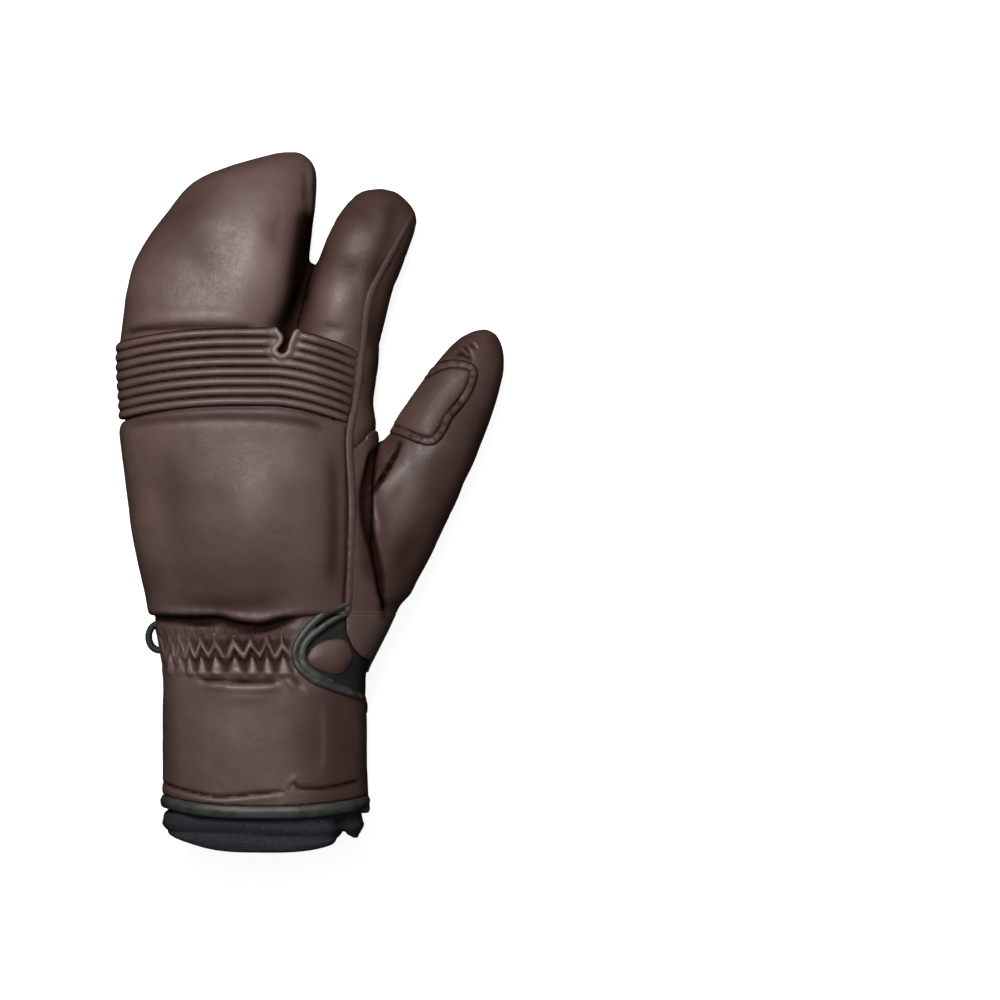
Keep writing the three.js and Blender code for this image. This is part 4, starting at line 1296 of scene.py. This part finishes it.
class Graph:
    """Short names for adding nodes to a material."""

    def __init__(self, name):
        self.material = bpy.data.materials.new(name)
        self.material.use_nodes = True
        self.tree = self.material.node_tree
        place = self.add("ShaderNodeTexCoord").outputs["Object"]
        scale = self.add("ShaderNodeMapping", {"Vector": place, "Scale": (1000, 1000, 1000)})
        self.place = scale.outputs["Vector"]

    def add(self, kind, inputs=None, **values):
        node = self.tree.nodes.new(kind)
        for name, value in values.items():
            setattr(node, name, value)
        self.feed(node, inputs or {})
        return node

    def feed(self, node, inputs):
        """Join each input to an output, or set it to a number, a place or a colour."""
        for name, value in inputs.items():
            socket = node.inputs[name]
            if isinstance(value, bpy.types.NodeSocket):
                self.tree.links.new(value, socket)
            else:
                socket.default_value = (*value, 1) if socket.type == "RGBA" else value

    def noise(self, scale, detail, distortion=0.0):
        inputs = {"Vector": self.place, "Scale": scale, "Detail": detail, "Distortion": distortion}
        return self.add("ShaderNodeTexNoise", inputs).outputs["Fac"]

    def cells(self, scale):
        inputs = {"Vector": self.place, "Scale": scale}
        return self.add("ShaderNodeTexVoronoi", inputs).outputs["Distance"]

    def bands(self, direction, scale, distortion):
        inputs = {"Vector": self.place, "Scale": scale, "Distortion": distortion}
        node = self.add("ShaderNodeTexWave", inputs, wave_type="BANDS", bands_direction=direction)
        return node.outputs["Fac"]

    def span(self, value, low, high, from_low, from_high):
        inputs = {
            "Value": value, "To Min": low, "To Max": high, "From Min": from_low, "From Max": from_high,
        }
        return self.add("ShaderNodeMapRange", inputs).outputs["Result"]

    def combine(self, operation, a, b):
        return self.add("ShaderNodeMath", {0: a, 1: b}, operation=operation).outputs[0]

    def mix(self, share, a, b):
        return self.add("ShaderNodeMix", {0: share, 6: a, 7: b}, data_type="RGBA").outputs[2]

    # The point attribute of painted shade and highlight.
    def painted_shade_and_highlight(self):
        return self.add("ShaderNodeAttribute", attribute_name="painted_shade_and_highlight").outputs["Fac"]

    def bump(self, height, depth_mm, below=None):
        inputs = {"Strength": 1.0, "Distance": depth_mm * MM, "Height": height}
        if below is not None:
            inputs["Normal"] = below
        return self.add("ShaderNodeBump", inputs).outputs["Normal"]

    def finish(self, colour, normal, roughness, specular):
        inputs = {
            "Base Color": colour, "Normal": normal, "Roughness": roughness, "Specular IOR Level": specular,
        }
        self.feed(self.tree.nodes["Principled BSDF"], inputs)
        return self.material


def leather(name, dark, light, painted_shade_and_pore_colour, painted_highlight_colour, gloss=0.50):
    graph = Graph(name)
    cloud = graph.noise(0.028, 3.0, 0.4)
    blotch = graph.noise(0.16, 3.0)
    pores = graph.cells(1.5)
    lines = graph.noise(0.42, 5.0, 1.2)
    painted_shade_and_highlight = graph.painted_shade_and_highlight()
    blotches = graph.span(blotch, -0.12, 0.12, 0.3, 0.7)
    tone = graph.combine("ADD", graph.span(cloud, 0.0, 0.75, 0.3, 0.7), blotches)
    colour = graph.mix(tone, dark, light)
    # Painted shade: the colour goes towards near-black as the painted shade rises, and where it is below
    # zero it goes paler as a painted highlight; the pores are darkened as grain, and the same value lowers
    # the specular in the painted shade.
    colour = graph.mix(graph.span(painted_shade_and_highlight, 0.0, 0.75, 0.05, 1.0), colour, painted_shade_and_pore_colour)
    colour = graph.mix(graph.span(painted_shade_and_highlight, 0.0, 0.85, 1.0, 1.6), colour, painted_shade_and_pore_colour)
    colour = graph.mix(graph.span(painted_shade_and_highlight, 0.45, 0.0, -0.8, -0.05), colour, painted_highlight_colour)
    colour = graph.mix(graph.span(pores, 0.16, 0.0, 0.0, 0.35), colour, painted_shade_and_pore_colour)
    normal = graph.bump(lines, 0.07)
    normal = graph.bump(graph.noise(1.3, 4.0), 0.022, normal)
    normal = graph.bump(graph.span(pores, 0.0, 1.0, 0.0, 0.6), 0.02, normal)
    rough = graph.span(lines, gloss - 0.05, gloss + 0.07, 0.3, 0.7)
    return graph.finish(colour, normal, rough, graph.span(painted_shade_and_highlight, 0.30, 0.02, 0.05, 0.75))


def knit(name, dark, light):
    """Knit-faced neoprene: fine rows of loops."""
    graph = Graph(name)
    loops = graph.combine("MULTIPLY", graph.bands("X", 0.32, 0.4), graph.bands("Y", 0.42, 0.6))
    fuzz = graph.noise(0.9, 4.0)
    colour = graph.mix(graph.span(fuzz, 0.0, 1.0, 0.3, 0.7), dark, light)
    # Painted shade: the neoprene goes near-black where its painted shade is high.
    colour = graph.mix(graph.span(graph.painted_shade_and_highlight(), 0.0, 0.8, 0.0, 1.0), colour, (0.002, 0.002, 0.002))
    return graph.finish(colour, graph.bump(fuzz, 0.10, graph.bump(loops, 0.12)), 0.86, 0.12)


def binding(name, dark, light, gloss, specular):
    """Narrow woven or coated binding."""
    graph = Graph(name)
    threads = graph.cells(1.9)
    colour = graph.mix(graph.span(graph.noise(0.22, 3.0), 0.0, 1.0, 0.3, 0.7), dark, light)
    normal = graph.bump(graph.noise(0.7, 4.0), 0.12, graph.bump(threads, 0.06))
    return graph.finish(colour, normal, gloss, specular)


def pile(name, dark, light):
    graph = Graph(name)
    tufts = graph.cells(1.6)
    colour = graph.mix(graph.span(tufts, 0.0, 1.0, 0.1, 0.6), dark, light)
    normal = graph.bump(graph.noise(2.2, 3.0), 0.2, graph.bump(tufts, 0.35))
    return graph.finish(colour, normal, 0.95, 0.08)


BROWN = leather(
    "brown_leather",
    dark=(0.047, 0.026, 0.022),
    light=(0.070, 0.041, 0.035),
    painted_shade_and_pore_colour=(0.006, 0.002, 0.0015),
    painted_highlight_colour=(0.14, 0.095, 0.084),
)
DARK_BROWN = leather(
    "dark_brown_leather",
    dark=(0.036, 0.0175, 0.0145),
    light=(0.055, 0.030, 0.025),
    painted_shade_and_pore_colour=(0.005, 0.002, 0.0015),
    painted_highlight_colour=(0.11, 0.07, 0.062),
)
THREAD = leather(
    "brown_thread",
    dark=(0.016, 0.008, 0.006),
    light=(0.034, 0.019, 0.015),
    painted_shade_and_pore_colour=(0.006, 0.003, 0.002),
    painted_highlight_colour=(0.06, 0.04, 0.034),
    gloss=0.6,
)
NEOPRENE = knit("black_neoprene", (0.010, 0.010, 0.0125), (0.018, 0.018, 0.0225))
# A darker, browner copy of the black neoprene for the notch, with the shade inside the notch painted in.
NEOPRENE_WITH_PAINTED_NOTCH_SHADE = knit("neoprene_with_painted_notch_shade", (0.0068, 0.0056, 0.0056), (0.0125, 0.0104, 0.0104))
EDGING = binding("grey_black_binding", (0.012, 0.012, 0.010), (0.026, 0.0255, 0.0225), 0.5, 0.3)
WEBBING = binding("black_webbing", (0.006, 0.006, 0.006), (0.014, 0.014, 0.014), 0.7, 0.2)
PILE = pile("black_pile", (0.002, 0.002, 0.002), (0.011, 0.011, 0.011))
LINING = pile("dark_lining", (0.010, 0.009, 0.009), (0.024, 0.021, 0.020))

# Cutters: the planes where the layers end, and the hollows

FAR_DOWN = -120
FAR_UP = 260
below_strap_edge = block("below_the_gathers", FAR_DOWN, 0)
above_strap_edge = block("above_the_strap", 0, FAR_UP)
below_hand = block("below_the_hand", FAR_DOWN, GATHER_DEPTH + 0.15)
above_wrist = block("above_the_wrist", GATHER_DEPTH + 2, FAR_UP)
deep_hollow = cavity("deep_hollow", WALL + 1.5, (-66, 18, -2), (104, 222, 56))
hollow = cavity("hollow", WALL, (-66, -84, -2), (104, 222, 56))
sleeve_hollow = cavity(
    "sleeve_hollow", COVER + 0.3 + SLEEVE, (-62, -90, -2), (60, 16, 56), SLEEVE_FLOOR + SLEEVE
)
cutters = (
    below_strap_edge, above_strap_edge, below_hand, above_wrist, deep_hollow, hollow, sleeve_hollow,
)

# Pieces. low, high and step are those of the space that a piece's field fills

Recipe = namedtuple("Recipe", "name node slot material low high step field relief cuts sharp")
RECIPES = [
    Recipe("palm_and_back", "hand_body", "leather", BROWN, (-66, 19, -2), (64, 148, 56), 1.1,
           body_field, leather_relief, [deep_hollow, below_hand], True),
    Recipe("three_finger_pocket", "finger_pocket", "leather", BROWN, (-68, 104, -2), (30, 224, 54), 1.0,
           pocket_field, leather_relief, [deep_hollow], True),
    Recipe("free_index", "index_finger", "side_leather", DARK_BROWN, (-16, 92, -2), (72, 210, 46), 0.8,
           index_field, leather_relief, [deep_hollow], True),
    Recipe("thumb_piece", "thumb", "side_leather", DARK_BROWN, (-4, 18, -2), (106, 150, 46), 0.86,
           thumb_field, leather_relief, [deep_hollow, below_hand], True),
    Recipe("ribbed_panel", "knuckle_ribs", "leather", BROWN, (-68, 98, 18), (60, 158, 58), 0.5,
           rib_field, rib_relief, [], True),
    Recipe("padded_back", "back_pad", "leather", BROWN, (-68, 20, 16), (44, 122, 60), 0.8,
           pad_field, leather_relief, [], True),
    Recipe("side_seam", "side_welt", "leather", DARK_BROWN, (28, 20, 12), (70, 202, 58), 0.5,
           welt_field, welt_relief, [], False),
    Recipe("thumb_patch", "wiping_patch", "leather", BROWN, (44, 84, 12), (98, 142, 46), 0.45,
           patch_field, patch_relief, [], True),
    Recipe("gathered_wrist", "wrist_gathers", "leather", BROWN, (-62, -4, -2), (64, 31, 58), 0.5,
           gathers_field, pleat_relief, [hollow, above_wrist, below_strap_edge], True),
    Recipe("wrist_strap", "cuff_strap", "leather", BROWN, (-50, -64, -2), (52, 5, 58), 0.85,
           strap_field, pleat_relief, [hollow, above_strap_edge], True),
    Recipe("strap_binding", "strap_edging", "edging", EDGING, (-52, -64, -2), (54, 4, 58), 0.85,
           edging_field, edging_relief, [hollow], True),
    Recipe("neoprene_sleeve", "cuff_sleeve", "neoprene", NEOPRENE, (-46, -80, 0), (46, 12, 54), 1.15,
           sleeve_field, sleeve_relief, [sleeve_hollow], True),
    Recipe("notch_neoprene", "notch_panel", "neoprene", NEOPRENE_WITH_PAINTED_NOTCH_SHADE, (10, -16, 18), (48, 28, 54), 0.55,
           panel_field, sleeve_relief, [], True),
    Recipe("leather_tongue", "notch_tongue", "side_leather", DARK_BROWN, (14, -6, 30), (44, 22, 56), 0.45,
           tongue_field, leather_relief, [], False),
    Recipe("notch_binding", "notch_edging", "edging", EDGING, (8, -18, 18), (52, 34, 58), 0.42,
           binding_field, binding_relief, [], False),
    Recipe("hook_and_loop", "hook_patch", "hook_and_loop", PILE, HOOK_LOW - 2, HOOK_HIGH + 2, 0.6,
           hook_field, None, [], False),
]


def fielded(recipe):
    """A piece whose skin is where its field is zero, with relief on it."""
    space = Volume(recipe.low, recipe.high, recipe.step * COARSE)
    points, quads = space.surface(recipe.field(space, space.resample(skin, SPACE)))
    painted_shades_and_highlights = None
    if recipe.relief is not None:
        heights, painted_shades_and_highlights = recipe.relief(points)
        points = settle(points, heights)
    piece = new_piece(recipe.name, points, quads, painted_shades_and_highlights)
    piece.data.materials.append(recipe.material)
    if recipe.cuts:
        carve(piece, recipe.cuts)
    ride_as(piece, recipe.slot, recipe.node)
    if recipe.sharp:
        sharpen(piece)
    return piece


pieces = {recipe.name: fielded(recipe) for recipe in RECIPES}

loop = swept_loop()
loop.data.materials.append(WEBBING)
ride_as(loop, "webbing", "hang_loop")

patch_row = photo_path([
    (468, 367), (470, 376), (465, 387), (454, 403), (444, 415), (434, 427), (428, 437), (415, 437),
    (402, 430),
])
patch_edge = photo_path([
    (474, 378), (469, 392), (460, 406), (450, 418), (444, 430), (436, 441), (420, 442), (404, 436),
])
web_row = photo_path([(400, 444), (394, 457), (388, 469), (381, 481)])
strap_row = photo_path([(168, 780), (194, 786), (238, 790), (288, 786), (300, 780), (362, 776)])
palm_row = photo_path([(158, 346), (177, 338), (209, 324), (240, 313), (268, 309), (282, 311)])
STITCH_ROWS = [
    {"path": patch_row, "lift": 1.5, "pitch": 2.6, "length": 1.7, "radius": 0.22},
    {"path": patch_edge, "lift": 1.0, "pitch": 2.6, "length": 1.7, "radius": 0.22},
    {"path": web_row, "lift": 0.0, "pitch": 2.6, "length": 1.7, "radius": 0.24},
    {"path": strap_row, "lift": 0.0, "pitch": 2.8, "length": 1.9, "radius": 0.2},
    {"path": palm_row, "lift": -0.5, "palm": True},
    {"path": beside(palm_row, -2.0), "lift": -0.3, "palm": True},
    {"path": beside(PANEL_SEAMS["pocket"][6:-5], -2.2), "lift": -0.3, "palm": True},
]
thread = stitched("stitches", STITCH_ROWS)
thread.data.materials.append(THREAD)
ride_as(thread, "leather")

for cutter in cutters:
    bpy.data.objects.remove(cutter)

# Floor, light and camera

floor_mesh = bpy.data.meshes.new("floor")
floor_mesh.from_pydata([(-3, -3, 0), (3, -3, 0), (3, 3, 0), (-3, 3, 0)], [], [(0, 1, 2, 3)])
floor = shown("floor", floor_mesh)
paint = Graph("pale_floor")
paint.feed(paint.tree.nodes["Principled BSDF"], {
    "Base Color": (0.5, 0.5, 0.5),
    "Roughness": 0.9,
    "Specular IOR Level": 0.1,
    "Emission Color": (1, 1, 1),
    "Emission Strength": 0.84,
})
floor_mesh.materials.append(paint.material)

world = bpy.data.worlds.new("studio")
bpy.context.scene.world = world
world.use_nodes = True
world.node_tree.nodes["Background"].inputs["Color"].default_value = (1, 1, 1, 1)
world.node_tree.nodes["Background"].inputs["Strength"].default_value = 1.0
world.cycles_visibility.diffuse = False
world.cycles_visibility.glossy = False
floor.visible_diffuse = False
floor.visible_glossy = False

# Lights: name, place, target, size, watts

LIGHTS = [
    ("key", (-0.14, 0.38, 0.70), (-0.01, 0.04, 0.02), 0.42, 11.2),
    ("fill", (0.0, 0.1, 2.2), (0.0, 0.0, 0.0), 2.4, 16),
    ("right", (1.2, 0.1, 0.40), (0.0, 0.0, 0.02), 1.0, 2.2),
    ("left", (-1.2, 0.1, 0.35), (0.0, 0.0, 0.02), 1.0, 1.5),
    ("front", (0.0, -1.3, 0.35), (0.0, 0.0, 0.02), 1.0, 2.5),
    ("behind", (0.0, 1.3, 0.35), (0.0, 0.0, 0.02), 1.0, 1.5),
]
for name, place, target, size, watts in LIGHTS:
    lamp = bpy.data.lights.new(name, "AREA")
    lamp.shape = "DISK"
    lamp.size = size
    lamp.energy = watts
    light = shown(name, lamp)
    light.location = place
    light.rotation_mode = "QUATERNION"
    light.rotation_quaternion = (Vector(target) - Vector(place)).to_track_quat("-Z", "Y")

FIELD = 0.42            # width of the picture at the mitt, in metres
DISTANCE = 2.0
SENSOR = 36
lens = bpy.data.cameras.new("camera")
lens.sensor_width = SENSOR
lens.lens = SENSOR * DISTANCE / FIELD
lens.clip_start = 0.01
lens.clip_end = 20
camera = shown("camera", lens)
camera.location = (0.0798, -0.0002, DISTANCE + 0.02)
bpy.context.scene.camera = camera
bpy.context.scene.view_settings.view_transform = "Standard"
